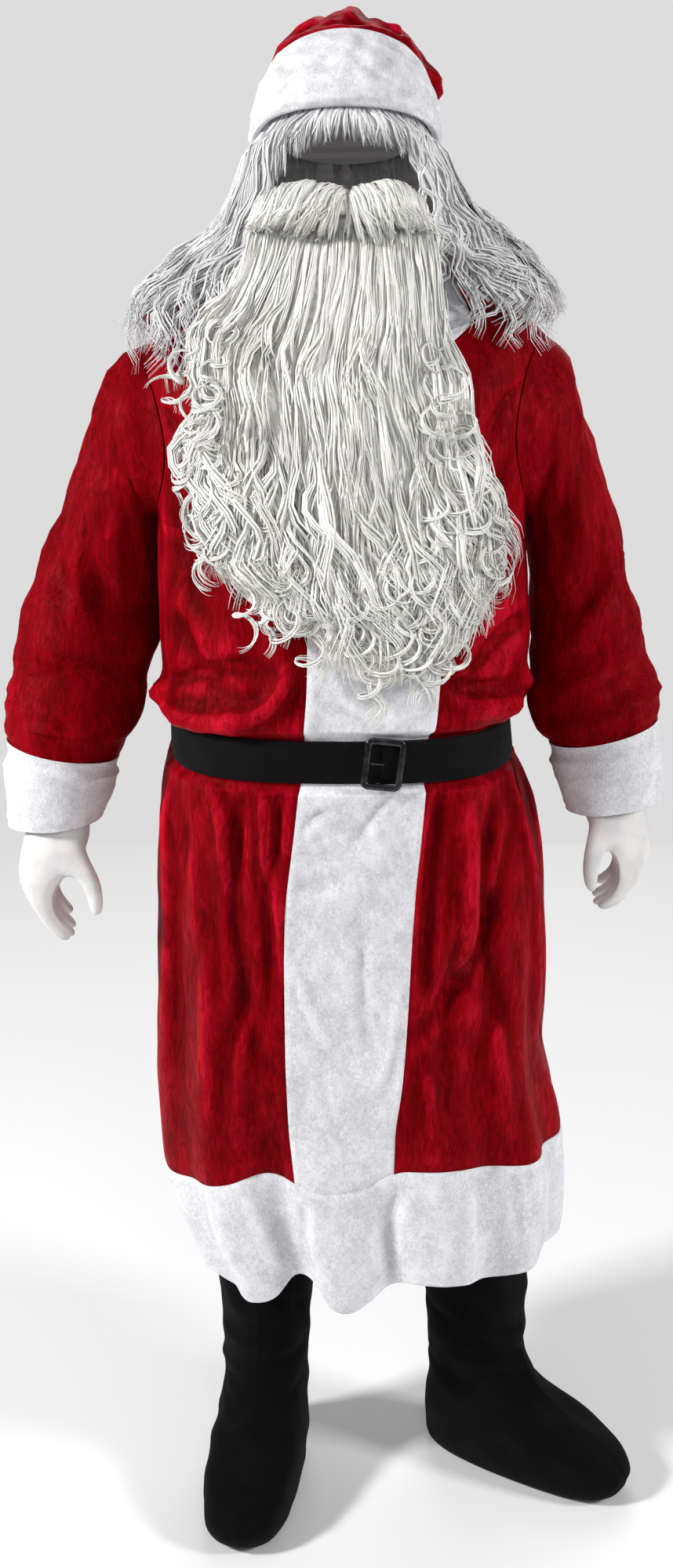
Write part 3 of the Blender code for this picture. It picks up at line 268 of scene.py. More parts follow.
FRONT_CREASES = (
    # from x, z, to x, z (floor heights), bow to one side, half width, depth
    (-0.175, 0.985, -0.190, 0.560, 0.05, 0.016, -0.006),
    (-0.140, 1.000, -0.128, 0.700, -0.04, 0.012, 0.005),
    (-0.112, 0.990, -0.098, 0.640, 0.04, 0.011, -0.006),
    (-0.085, 1.000, -0.070, 0.820, 0.00, 0.009, 0.005),
    (-0.065, 1.000, -0.075, 0.700, 0.03, 0.008, -0.005),
    (-0.150, 0.800, -0.165, 0.500, 0.00, 0.014, 0.005),
    (-0.105, 0.720, -0.120, 0.500, 0.03, 0.012, 0.005),
    (0.120, 1.000, 0.112, 0.720, 0.03, 0.011, -0.005),
    (0.150, 1.000, 0.165, 0.760, 0.00, 0.012, 0.005),
    (0.185, 0.980, 0.205, 0.640, 0.04, 0.013, -0.007),
    (0.205, 0.930, 0.095, 0.690, -0.10, 0.012, -0.005),
    (0.140, 0.800, 0.150, 0.520, 0.04, 0.014, -0.005),
    (0.195, 0.700, 0.215, 0.520, 0.00, 0.013, 0.006),
    (0.110, 0.640, 0.120, 0.500, 0.00, 0.010, 0.004),
    (-0.200, 1.085, -0.060, 1.110, 0.10, 0.012, 0.006),
    (-0.190, 1.120, -0.080, 1.150, -0.08, 0.012, -0.004),
    (-0.185, 1.200, -0.120, 1.110, 0.10, 0.013, -0.005),
    (-0.175, 1.330, -0.150, 1.180, 0.06, 0.014, -0.006),
    (0.150, 1.100, 0.215, 1.080, -0.10, 0.012, 0.005),
    (0.130, 1.130, 0.205, 1.115, 0.06, 0.012, -0.005),
    (0.215, 1.190, 0.150, 1.120, 0.10, 0.013, -0.006),
    (0.185, 1.360, 0.175, 1.180, -0.06, 0.014, -0.006),
    (0.165, 1.300, 0.150, 1.160, 0.08, 0.010, 0.005),
    (-0.090, 1.095, -0.050, 1.160, 0.12, 0.009, 0.004),
    (0.205, 1.440, 0.165, 1.360, 0.10, 0.010, -0.004),
    (-0.205, 1.440, -0.165, 1.370, -0.10, 0.010, -0.004),
)
AROUND_CREASES = (
    # from angle, z, to angle, z, bow, half width in metres, depth
    (-80, 0.99, -84, 0.55, 0.02, 0.014, -0.006),
    (-64, 0.99, -66, 0.62, -0.02, 0.013, 0.005),
    (74, 0.99, 80, 0.56, 0.03, 0.014, -0.006),
    (62, 0.99, 66, 0.66, 0.00, 0.012, 0.005),
    (98, 0.99, 102, 0.54, 0.02, 0.015, 0.006),
    (116, 1.00, 118, 0.60, -0.03, 0.013, -0.007),
    (137, 1.00, 138, 0.52, 0.02, 0.015, 0.006),
    (156, 1.00, 158, 0.66, 0.00, 0.012, -0.006),
    (175, 1.00, 173, 0.54, 0.02, 0.014, -0.004),
    (195, 1.00, 194, 0.62, -0.02, 0.013, -0.006),
    (213, 1.00, 214, 0.52, 0.02, 0.015, 0.006),
    (234, 1.00, 233, 0.60, 0.00, 0.013, -0.007),
    (254, 1.00, 256, 0.56, 0.03, 0.013, 0.005),
    (-86, 1.09, -60, 1.11, 0.05, 0.012, 0.005),
    (84, 1.09, 62, 1.12, 0.05, 0.012, 0.005),
    (110, 1.10, 150, 1.09, 0.05, 0.013, 0.007),
    (160, 1.12, 200, 1.09, -0.04, 0.013, 0.006),
    (215, 1.10, 250, 1.12, 0.05, 0.013, 0.006),
    (120, 1.42, 155, 1.20, 0.05, 0.016, -0.006),
    (240, 1.42, 205, 1.22, -0.05, 0.016, -0.006),
    (135, 1.30, 170, 1.12, -0.04, 0.013, 0.005),
    (225, 1.32, 190, 1.13, 0.04, 0.013, 0.005),
    (180, 1.46, 178, 1.26, 0.02, 0.018, -0.004),
)
METRES_PER_DEGREE = 0.0040
CREASE_BEYOND = 0.12
CREASE_STARTS_OVER = 0.30
CREASE_ENDS_OVER = 0.45
CREASE_WIDTHS = (0.75, 1.35)
RIPPLE_SINES = 9
RIPPLE_GAIN = 2.2
FOLD_SINES = 5
FOLD_GAIN = 1.6
CREST_ROUNDING = 0.015
CREASE_DEPTH = 2.2
LONG_FOLDS_TO = 1.46
BLOUSE_AT = 1.082
BLOUSE_HALF = 0.022
BLOUSE_OUT = 0.006
SHOULDER_FROM = SKIRT_ROWS.index(ARMPIT) - 1


def ease(t):
    """0 to 1 with a level start and end."""
    t = np.clip(t, 0.0, 1.0)
    return t * t * (3.0 - 2.0 * t)


def mix(a, b, t):
    return a + (b - a) * t


def ridge(off, half_width):
    """1 on a line and falling to 0 on both sides of it."""
    return np.exp(-((off / half_width) ** 2))


def curve_at(table, key):
    """The other columns of a table, each an array, read on a smooth curve through its rows."""
    table = np.asarray(table, float)
    keys = table[:, 0]
    key = np.clip(np.asarray(key, float), keys[0], keys[-1])
    i = np.clip(np.searchsorted(keys, key, side="left") - 1, 0, len(keys) - 2)
    before, after = np.maximum(i - 1, 0), np.minimum(i + 2, len(keys) - 1)
    span = keys[i + 1] - keys[i]
    t = ((key - keys[i]) / span)[..., None]
    a, b = table[i], table[i + 1]
    slope_a = (b - table[before]) / (keys[i + 1] - keys[before])[..., None] * span[..., None]
    slope_b = (table[after] - a) / (keys[after] - keys[i])[..., None] * span[..., None]
    rows = a * (2 * t**3 - 3 * t**2 + 1) + slope_a * (t**3 - 2 * t**2 + t)
    rows = rows + b * (3 * t**2 - 2 * t**3) + slope_b * (t**3 - t**2)
    return np.moveaxis(rows[..., 1:], -1, 0)


def armhole_row(k):
    middle, half = (ARMPIT + ARMHOLE_TOP) / 2, (ARMHOLE_TOP - ARMPIT) / 2
    return middle - half * np.cos(np.pi * np.asarray(k, float) / ARMHOLE_ROWS)


ROBE_ROWS = (*SKIRT_ROWS, *(float(armhole_row(k)) for k in range(1, ARMHOLE_ROWS + 1)), *SHOULDER_ROWS)
TOP_ROW = len(ROBE_ROWS) - 1


def wrapped(angle):
    """The same direction as an angle from -90 to 270, the range of the tables."""
    return (angle + 90.0) % 360.0 - 90.0


def around(table, angle):
    return curve_at(table, wrapped(angle))[0]


def angle_apart(a, b):
    return (a - b + 180.0) % 360.0 - 180.0


def robe_surface(angle, height):
    """The robe's outside without its creases: angle in degrees from the front to the right."""
    left, right, front, back = curve_at(ROBE_RINGS, height)
    s, c = np.sin(np.radians(angle)), np.cos(np.radians(angle))
    half, middle = (right - left) / 2, (right + left) / 2
    depth = np.where(c > 0, front, back)
    x = middle + half * s * (1 + SQUARENESS * c * c)
    y = -depth * c * (1 + SQUARENESS * s * s)
    out = 0.0
    for fold_angle, half_width, fold_depth, top in SKIRT_FOLDS:
        near = ridge(angle_apart(angle, fold_angle), half_width)
        out = out + fold_depth * near * ease((top - height) / (top - HEM_REFERENCE))
    out = out - BELT_PINCH * (1.0 - ease((np.abs(height - BELT_HEIGHT) - PINCH_HALF) / PINCH_EASE))
    rise = SHOULDER_RISE * x * ease((height - FRONT_EASES_FROM) / (ARMHOLE_TOP - FRONT_EASES_FROM))
    return np.stack([x + out * s, y - out * c, height + rise - SHOULDER_LINE], axis=-1)


def angle_at(x, height):
    """The angle on the front where the robe's ring at this height reaches x."""
    left, right = curve_at(ROBE_RINGS, height)[:2]
    half, middle = (right - left) / 2, (right + left) / 2
    low, high = np.full_like(half + x, -89.0), np.full_like(half + x, 89.0)
    for _ in range(HALVINGS):
        angle = (low + high) / 2
        s, c = np.sin(np.radians(angle)), np.cos(np.radians(angle))
        short = middle + half * s * (1 + SQUARENESS * c * c) < x
        low, high = np.where(short, angle, low), np.where(short, high, angle)
    return (low + high) / 2


def armhole_opening(row):
    k = (row - ARMPIT) / (ARMHOLE_TOP - ARMPIT) * 2 - 1
    return ARMHOLE_ANGLE * np.sqrt(np.clip(1 - k * k, 0.0, None))


def robe_place(column, row):
    """The angle and height of a column and a row height of the robe's grid."""
    opening = armhole_opening(row)
    share = (NECK_FRONT - FRONT_EASES_FROM) / (NECK_SIDE - FRONT_EASES_FROM)
    eased = np.where(row > FRONT_EASES_FROM, FRONT_EASES_FROM + (row - FRONT_EASES_FROM) * share, row)
    left_edge, right_edge = curve_at(PLACKET_EDGES, eased)
    left_angle, right_angle = angle_at(left_edge, eased), angle_at(right_edge, eased)
    parts = [column <= PLACKET_START, column <= PLACKET_END, column <= FRONT_END]
    t_left = column / SIDE_COLUMNS
    t_placket = (column - PLACKET_START) / PLACKET_COLUMNS
    t_right = (column - PLACKET_END) / SIDE_COLUMNS
    t_back = (column - FRONT_END) / BACK_COLUMNS
    angle = np.select(parts, [
        mix(-90 + opening, left_angle, t_left),
        mix(left_angle, right_angle, t_placket),
        mix(right_angle, 90 - opening, t_right),
    ], mix(90 + opening, 270 - opening, t_back))
    height = np.select(parts, [
        mix(row, eased, np.clip(t_left, 0, 1) ** NECK_CURVE),
        eased + 0 * column,
        mix(row, eased, np.clip(1 - t_right, 0, 1) ** NECK_CURVE),
    ], row + 0 * column)
    return angle, height


def robe_cell(column, v):
    """The angle and height by column and row number, the lowest rows drawn to the hem seam."""
    row = np.interp(v, np.arange(TOP_ROW + 1), ROBE_ROWS)
    angle, height = robe_place(column, row)
    near_hem = 1.0 - ease((row - HEM_ROW) / HEM_DRAWN)
    return angle, height + (around(HEM_SEAM, angle) - HEM_ROW) * near_hem


def crease_relief(table, across, up):
    """Soft ridges and troughs, each along a bowed line from one place to another."""
    total = np.zeros(np.broadcast(across, up).shape)
    for x0, z0, x1, z1, bow, half_width, depth in table:
        dx, dz = x1 - x0, z1 - z0
        length = math.hypot(dx, dz)
        t = ((across - x0) * dx + (up - z0) * dz) / length**2
        off = ((across - x0) * dz - (up - z0) * dx) / length - bow * length * 4 * t * (1 - t)
        begun, left = t + CREASE_BEYOND, 1 + CREASE_BEYOND - t
        inside = ease(np.minimum(begun / CREASE_STARTS_OVER, left / CREASE_ENDS_OVER))
        total += depth * inside * ridge(off, half_width * mix(*CREASE_WIDTHS, np.clip(t, 0, 1)))
    return total


def relief_around(table, angle, up, per_degree, per_up=1.0):
    """The same for a table in degrees round a piece, and in rows or shares up it."""
    in_metres = [(a * per_degree, b * per_up, c * per_degree, d * per_up, *rest)
                 for a, b, c, d, *rest in table]
    return crease_relief(in_metres, angle * per_degree, up * per_up)


def off_belt(height):
    """0 under the belt and 1 away from it."""
    return ease((np.abs(height - BELT_HEIGHT) - FLAT_HALF) / FLAT_EASE)


def ripples(points, waves, depth, seed):
    """Uneven soft waves over the cloth: sums of sines with fixed seeds. waves: sizes along X, Y, Z."""
    rng = np.random.default_rng(seed)
    total = np.zeros(points.shape[:-1])
    for _ in range(RIPPLE_SINES):
        turn = rng.normal(size=3)
        turn = turn / np.linalg.norm(turn) * 2 * math.pi / np.asarray(waves) * rng.uniform(0.7, 1.5)
        total += np.sin(points @ turn + rng.uniform(0, 2 * math.pi))
    return total / RIPPLE_SINES * RIPPLE_GAIN * depth


def fold_lines(points, waves, depth, seed):
    """Soft folds with narrow crests, long along the larger of the waves."""
    rng = np.random.default_rng(seed)
    bend = ripples(points, (0.30, 0.30, 0.60), depth=0.9, seed=seed + 100)
    total = np.zeros(points.shape[:-1])
    for _ in range(FOLD_SINES):
        turn = rng.normal(size=3)
        turn = turn / np.linalg.norm(turn) * math.pi / np.asarray(waves) * rng.uniform(0.8, 1.3)
        wave = np.sin(points @ turn + bend + rng.uniform(0, math.pi))
        total += 1.0 - 2.0 * np.sqrt(wave**2 + CREST_ROUNDING)
    return total / FOLD_SINES * FOLD_GAIN * depth


def grid_normals(points, loop):
    """Outward normals of a grid whose columns run anticlockwise from above and rows run up."""
    if loop:
        along_u = np.roll(points, -1, axis=1) - np.roll(points, 1, axis=1)
    else:
        along_u = np.gradient(points, axis=1)
    normals = np.cross(along_u, np.gradient(points, axis=0))
    return normals / np.maximum(np.linalg.norm(normals, axis=-1, keepdims=True), 1e-12)


def crests(points, normals, loop, reach=2):
    """How far each point stands above its neighbours, in millimetres."""
    far = np.pad(points, ((reach, reach), (0, 0), (0, 0)), mode="edge")
    far = np.pad(far, ((0, 0), (reach, reach), (0, 0)), mode="wrap" if loop else "edge")
    inside, twice = slice(reach, -reach), 2 * reach
    middle = far[twice:, inside] + far[:-twice, inside] + far[inside, twice:] + far[inside, :-twice]
    return np.sum((points - middle / 4) * normals, axis=-1) * 1000


def cut_piece(name, mesh, finish):
    """A mesh as a piece of the suit's one body."""
    mesh.materials.append(finish)
    piece = put(name, mesh)
    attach(piece, "root")
    return piece


def sheet_mesh(
    name, points, thickness, finish, loop=False, turned=False, relief=None, sink=SEAM_SINK
):
    """A closed thin shell: the cloth's outer face and, half as fine, its inner face."""
    rows, count = points.shape[:2]
    normals = grid_normals(points, loop) * (-1 if turned else 1)
    outer = points if relief is None else points + normals * relief[..., None]
    edge = np.zeros((rows, count))
    edge[0, :] = edge[-1, :] = 1
    if not loop:
        edge[:, 0] = edge[:, -1] = 1
    outer = outer - normals * (edge * sink)[..., None]
    inner = (outer - normals * thickness)[::2, ::2]
    in_rows, in_count = inner.shape[:2]
    behind = rows * count

    def cells(row_count, column_count, start):
        j, i = np.meshgrid(np.arange(row_count - 1), np.arange(column_count - (not loop)), indexing="ij")
        a, b = j * column_count + i + start, j * column_count + (i + 1) % column_count + start
        return np.stack([a, b, b + column_count, a + column_count], axis=-1).reshape(-1, 4)

    faces = cells(rows, count, 0).tolist() + cells(in_rows, in_count, behind)[:, ::-1].tolist()
    for i in range(in_count - (not loop)):
        o0, o1, o2 = 2 * i, 2 * i + 1, (2 * i + 2) % count
        n0, n1 = behind + i, behind + (i + 1) % in_count
        faces.append((o0, n0, n1, o2, o1))
        up, in_up = (rows - 1) * count, (in_rows - 1) * in_count
        faces.append((o0 + up, o1 + up, o2 + up, n1 + in_up, n0 + in_up))
    for j in range(0 if loop else in_rows - 1):
        o0, o1, o2 = 2 * j * count, (2 * j + 1) * count, (2 * j + 2) * count
        n0, n1 = behind + j * in_count, behind + (j + 1) * in_count
        faces.append((o0, o1, o2, n1, n0))
        across, in_across = count - 1, in_count - 1
        faces.append((o0 + across, n0 + in_across, n1 + in_across, o2 + across, o1 + across))
    if turned:
        faces = [face[::-1] for face in faces]
    mesh = bpy.data.meshes.new(name)
    mesh.from_pydata(np.concatenate([outer.reshape(-1, 3), inner.reshape(-1, 3)]).tolist(), [], faces)
    # Crest heights of the outer face, zero on the inner face, feed a painted highlight on fold crests and
    # painted shade in their troughs.
    painted_fold_shading = np.concatenate([crests(outer, normals, loop).ravel(), np.zeros(inner.size // 3)])
    mesh.attributes.new("painted_fold_shading", "FLOAT", "POINT").data.foreach_set("value", painted_fold_shading)
    mesh.shade_smooth()
    mesh.set_sharp_from_angle(angle=math.radians(60))
    return cut_piece(name, mesh, finish)


def new_group(name, inputs, outputs):
    """An empty shader node group with named float inputs and named outputs."""
    tree = bpy.data.node_groups.new(name, "ShaderNodeTree")
    for label, value in inputs.items():
        socket = tree.interface.new_socket(name=label, in_out="INPUT", socket_type="NodeSocketFloat")
        socket.default_value = value
    for label, kind in outputs.items():
        tree.interface.new_socket(name=label, in_out="OUTPUT", socket_type=kind)
    return tree, tree.nodes.new("NodeGroupInput").outputs, tree.nodes.new("NodeGroupOutput")


def ramp(tree, factor, stops):
    """A colour ramp with its stops given as (place, colour)."""
    node = add_node(tree, "ShaderNodeValToRGB", {"Fac": factor})
    elements = node.color_ramp.elements
    while len(elements) < len(stops):
        elements.new(0.5)
    for element, (place, colour) in zip(elements, stops):
        element.position = place
        element.color = (*colour, 1.0)
    return node.outputs["Color"]


def arithmetic(tree, operation, *values):
    """The result of one sum, product or quotient of sockets and numbers."""
    return add_node(tree, "ShaderNodeMath", dict(enumerate(values)), operation=operation).outputs[0]


def times(tree, value, factor, more=0.0):
    """A value times a factor, plus more."""
    return arithmetic(tree, "MULTIPLY_ADD", value, factor, more)


def spots(tree, place, scale, detail, roughness=0.5, distortion=0.0):
    """Uneven noise over the surface."""
    return add_node(tree, "ShaderNodeTexNoise", {
        "Vector": place, "Scale": scale, "Detail": detail, "Roughness": roughness, "Distortion": distortion,
    }).outputs["Fac"]


def raised(tree, height, strength, distance):
    """The normal of a surface with a fine relief."""
    return add_node(tree, "ShaderNodeBump", {
        "Height": height, "Strength": strength, "Distance": distance,
    }).outputs["Normal"]


def crushed_pile():
    """Pile pressed in different directions: broad patches, short strokes and the pile's own grain."""
    tree, given, result = new_group(
        "crushed_pile", {"Patch Size": 0.04, "Stretch": 2.5},
        {"Patches": "NodeSocketFloat", "Strokes": "NodeSocketFloat", "Height": "NodeSocketFloat"},
    )
    place = add_node(tree, "ShaderNodeTexCoord").outputs["Object"]
    per_size = arithmetic(tree, "DIVIDE", 1.0, given["Patch Size"])
    tall = arithmetic(tree, "DIVIDE", 1.0, given["Stretch"])
    squeeze = add_node(tree, "ShaderNodeCombineXYZ", {0: 1.0, 1: 1.0, 2: tall}).outputs[0]
    drawn = add_node(tree, "ShaderNodeVectorMath", {0: place, 1: squeeze}, operation="MULTIPLY").outputs[0]
    patches = spots(tree, drawn, per_size, detail=3.0, roughness=0.55, distortion=0.8)
    strokes = spots(tree, drawn, times(tree, per_size, 6.0), detail=4.0, roughness=0.65, distortion=1.6)
    grain = spots(tree, place, 900.0, detail=2.0)
    height = times(tree, grain, 0.25, times(tree, strokes, 0.75))
    feed(tree, result, {"Patches": patches, "Strokes": strokes, "Height": height})
    return tree


pile_group = crushed_pile()


def pile_and_painted_fold_shading(tree, patch_size, stretch, patch_share, painted_crest_share, trough, crest):
    """The pile's outputs and a shade from its patches and strokes, with a painted highlight on the crests of
    folds and painted shade in their troughs.
    """
    pile = add_node(
        tree, "ShaderNodeGroup", {"Patch Size": patch_size, "Stretch": stretch}, node_tree=pile_group).outputs
    # Painted highlight and painted shade of the folds: crest heights, clamped, added to the shade that picks
    # the colour.
    painted_fold_shading = add_node(tree, "ShaderNodeAttribute", attribute_name="painted_fold_shading").outputs["Fac"]
    painted_fold_shading = add_node(tree, "ShaderNodeClamp", {"Value": painted_fold_shading, "Min": trough, "Max": crest}).outputs[0]
    shade = times(tree, pile["Patches"], patch_share, times(tree, pile["Strokes"], 1.0 - patch_share))
    return pile, times(tree, painted_fold_shading, painted_crest_share, shade)


def velvet(name):
    """Crushed velvet: pile patches and strokes, with a painted highlight on the crests of folds and painted
    shade in the troughs.
    """
    finish, tree, shader = new_finish(name)
    pile, shade = pile_and_painted_fold_shading(
        tree, patch_size=0.050, stretch=4.0, patch_share=0.45, painted_crest_share=0.09, trough=-0.8, crest=1.6)
    rough = add_node(tree, "ShaderNodeMapRange", {
        "Value": pile["Strokes"], "From Min": 0.35, "From Max": 0.65, "To Min": 0.66, "To Max": 0.48})
    feed(tree, shader, {
        "Base Color": ramp(tree, shade, (
            (0.34, (0.085, 0.0002, 0.0009)), (0.50, (0.185, 0.0005, 0.0029)),
            (0.60, (0.270, 0.0011, 0.0058)), (0.80, (0.540, 0.0060, 0.0230)))),
        "Roughness": rough.outputs[0],
        "Normal": raised(tree, pile["Height"], strength=0.30, distance=0.0022),
        "Sheen Weight": 0.35,
        "Sheen Roughness": 0.30,
        "Sheen Tint": (0.80, 0.012, 0.045, 1.0),
        "Specular IOR Level": 0.07,
        "Specular Tint": (1.0, 0.15, 0.20, 1.0),
    })
    return finish


red_velvet = velvet("red_crushed_velvet")


def robe_relief(points, angle, height):
    """Creases by place on the front, by angle round the sides and back, and soft unevenness."""
    in_front = ease((np.cos(np.radians(angle)) + 0.05) / 0.25)
    relief = crease_relief(FRONT_CREASES, points[..., 0], height) * in_front
    relief = relief + relief_around(AROUND_CREASES, wrapped(angle), height, METRES_PER_DEGREE)
    long_folds = fold_lines(points, (0.050, 0.050, 0.80), depth=0.0048, seed=11)
    long_folds = long_folds * ease((LONG_FOLDS_TO - height) / 0.10)
    relief = CREASE_DEPTH * relief + long_folds * mix(1.0, 0.55, in_front)
    relief = relief + ripples(points, (0.04, 0.04, 0.07), depth=0.0009, seed=12)
    return (relief + BLOUSE_OUT * ridge(height - BLOUSE_AT, BLOUSE_HALF)) * off_belt(height)


def robe_panel(name, first, last, fine, finish, thickness=CLOTH, relief_of=robe_relief):
    """One panel: its creases fade towards hem and neck and, above the armpit, towards its seams."""
    columns = np.linspace(first, last, (last - first) * fine + 1)
    if first == FRONT_END:
        columns[0] += JUST_PAST_SEAM
    rows = np.linspace(0, TOP_ROW, TOP_ROW * ROBE_FINE + 1)
    column, row = np.meshgrid(columns, rows)
    angle, height = robe_cell(column, row)
    points = robe_surface(angle, height)
    relief = relief_of(points, angle, height)
    ends = ease(np.minimum(row / 3.0, (TOP_ROW - row) / 6.0)) * 0.8 + 0.2
    beside = np.minimum(column - first, last - column) / 1.2
    ends = ends * np.where(row > SHOULDER_FROM, ease(beside), 1.0)
    return sheet_mesh(name, points, thickness, finish, relief=relief * ends)


robe_front_right = robe_panel(
    "robe_front_right_cloth", 0, PLACKET_START, PANEL_FINE, red_velvet)
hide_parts("robe_front_right")
robe_front_left = robe_panel(
    "robe_front_left_cloth", PLACKET_END, FRONT_END, PANEL_FINE, red_velvet)
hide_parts("robe_front_left")
robe_back = robe_panel("robe_back_cloth", FRONT_END, ROUND_COLUMNS, BACK_FINE, red_velvet)
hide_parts("robe_back")


# Centre front and hem: white short-pile plush, a long strip sewn between the front panels and a
# wide band sewn round the bottom, turned up and stitched along its edge.
PLACKET_CREASES = (
    # from x, z, to x, z, bow, half width, depth
    (-0.055, 0.890, 0.020, 0.905, 0.04, 0.006, -0.003),
    (-0.010, 0.985, -0.050, 0.945, 0.10, 0.006, -0.003),
    (0.060, 1.000, 0.020, 0.930, 0.08, 0.007, -0.003),
    (-0.045, 0.760, 0.010, 0.650, 0.05, 0.006, 0.003),
    (0.030, 0.820, 0.050, 0.620, 0.04, 0.009, -0.003),
    (0.075, 0.760, 0.040, 0.600, -0.05, 0.008, 0.003),
    (-0.020, 0.640, 0.020, 0.520, 0.05, 0.008, -0.003),
    (0.060, 0.600, 0.045, 0.500, 0.00, 0.009, 0.003),
    (0.000, 1.120, 0.080, 1.090, 0.08, 0.008, 0.003),
    (0.090, 1.150, 0.050, 1.090, 0.08, 0.008, -0.003),
)
HEM_CREASES = (
    # from angle, z, to angle, z, bow, half width, depth
    (-70, 0.45, -74, 0.34, 0.05, 0.010, -0.004),
    (-46, 0.46, -50, 0.33, 0.05, 0.009, -0.004),
    (-30, 0.47, -27, 0.33, 0.00, 0.008, 0.004),
    (-14, 0.46, -17, 0.32, 0.05, 0.007, -0.005),
    (8, 0.48, 4, 0.34, 0.04, 0.007, -0.005),
    (26, 0.48, 24, 0.35, 0.00, 0.009, 0.004),
    (41, 0.49, 44, 0.35, 0.04, 0.009, -0.004),
    (56, 0.49, 57, 0.36, 0.00, 0.009, 0.004),
    (82, 0.49, 80, 0.36, 0.04, 0.010, -0.005),
    (118, 0.47, 116, 0.35, 0.04, 0.010, -0.005),
    (140, 0.47, 143, 0.34, 0.00, 0.010, 0.004),
    (175, 0.46, 172, 0.34, 0.04, 0.010, -0.005),
    (214, 0.46, 216, 0.34, 0.00, 0.010, 0.004),
    (236, 0.45, 238, 0.34, 0.04, 0.010, -0.005),
)
HEM_BAND_ROWS = 3
HEM_FINE = 12
PLUSH = 0.0028
STITCH_UP = 0.011
STITCH_HALF = 0.0022
STITCH_DEPTH = 0.0013
PLACKET_EDGE = 0.020
PLACKET_OWN = 0.85


def plush(name, tint):
    """Short white pile, greyer along brushed strokes, with painted shade in the troughs of folds and a
    painted highlight on their crests.
    """
    finish, tree, shader = new_finish(name)
    pile, shade = pile_and_painted_fold_shading(
        tree, patch_size=0.030, stretch=1.3, patch_share=0.3, painted_crest_share=0.06, trough=-1.0, crest=1.5)
    dull, bright = (tuple(c * share for c in tint) for share in (0.80, 1.20))
    feed(tree, shader, {
        "Base Color": ramp(tree, shade, ((0.38, dull), (0.50, tint), (0.64, bright))),
        "Normal": raised(tree, pile["Height"], strength=0.40, distance=0.0030),
        "Roughness": 0.72,
        "Sheen Weight": 0.15,
        "Sheen Roughness": 0.45,
        "Specular IOR Level": 0.20,
    })
    return finish


white_plush = plush("white_short_plush", (0.74, 0.74, 0.775))


def placket_relief(points, angle, height):
    """The robe's own folds, held flatter by the doubled strip, and its sharper small creases."""
    left, right = curve_at(PLACKET_EDGES, height)
    inside = ease(np.minimum(points[..., 0] - left, right - points[..., 0]) / PLACKET_EDGE)
    own = crease_relief(PLACKET_CREASES, points[..., 0], height) * 1.5
    own = own + fold_lines(points, (0.05, 0.05, 0.09), depth=0.0022, seed=21)
    own = own + ripples(points, (0.02, 0.02, 0.03), depth=0.0006, seed=22)
    return mix(robe_relief(points, angle, height), own * off_belt(height), inside * PLACKET_OWN)


placket = robe_panel(
    "placket_plush", PLACKET_START, PLACKET_END, PANEL_FINE, white_plush,
    thickness=PLUSH, relief_of=placket_relief)
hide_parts("placket")


def hem_band(name, node, first, last):
    columns = np.linspace(first, last, (last - first) * PANEL_FINE + 1)
    rows = np.linspace(0, HEM_BAND_ROWS, HEM_BAND_ROWS * HEM_FINE + 1)
    column, row = np.meshgrid(columns, rows)
    angle = robe_place(column, np.full_like(column, HEM_ROW))[0]
    low, high = around(HEM_EDGE, angle), around(HEM_SEAM, angle)
    height = mix(low, high, row / HEM_BAND_ROWS)
    points = robe_surface(angle, height)
    relief = relief_around(HEM_CREASES, wrapped(angle), height, METRES_PER_DEGREE)
    relief = relief * ease(row / HEM_BAND_ROWS * 3 + 0.4) * ease((HEM_BAND_ROWS - row) / 0.8)
    relief = relief + ripples(points, (0.04, 0.04, 0.05), depth=0.0010, seed=31)
    relief = relief - STITCH_DEPTH * ridge(height - low - STITCH_UP, STITCH_HALF)
    piece = sheet_mesh(name, points, PLUSH, white_plush, relief=relief)
    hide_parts(node)
    return piece


hem_front = hem_band("hem_band_front_plush", "hem_band_front", 0, FRONT_END)
hem_back = hem_band("hem_band_back_plush", "hem_band_back", FRONT_END, ROUND_COLUMNS)


# Sleeves and cuffs: velvet tubes set into the armholes, and plush cuffs sewn to them, turned up
# once so that a soft rolled rim stands at their top.
SLEEVE_COLUMNS = 2 * ARMHOLE_ROWS
SLEEVE_RIGHT = (
    # section, outer x, outer z, inner x, inner z, middle y, depth
    (1, -0.262, 1.462, -0.2205, 1.284, 0.000, 0.172),
    (2, -0.287, 1.386, -0.2215, 1.246, 0.003, 0.166),
    (3, -0.312, 1.315, -0.2215, 1.208, 0.004, 0.160),
    (4, -0.344, 1.248, -0.2210, 1.170, 0.002, 0.156),
    (5, -0.369, 1.178, -0.2215, 1.130, -0.008, 0.154),
    (6, -0.389, 1.112, -0.2340, 1.088, -0.024, 0.148),
    (7, -0.395, 1.066, -0.2440, 1.048, -0.042, 0.140),
    (8, -0.391, 1.031, -0.2660, 1.008, -0.056, 0.128),
)
SLEEVE_LEFT = (
    (1, 0.266, 1.470, 0.2320, 1.290, 0.000, 0.172),
    (2, 0.290, 1.402, 0.2360, 1.252, 0.003, 0.166),
    (3, 0.310, 1.330, 0.2390, 1.212, 0.004, 0.160),
    (4, 0.335, 1.256, 0.2400, 1.172, 0.002, 0.156),
    (5, 0.350, 1.190, 0.2400, 1.136, -0.008, 0.154),
    (6, 0.370, 1.128, 0.2340, 1.096, -0.024, 0.148),
    (7, 0.383, 1.088, 0.2360, 1.062, -0.042, 0.140),
    (8, 0.382, 1.058, 0.2600, 1.026, -0.056, 0.128),
)
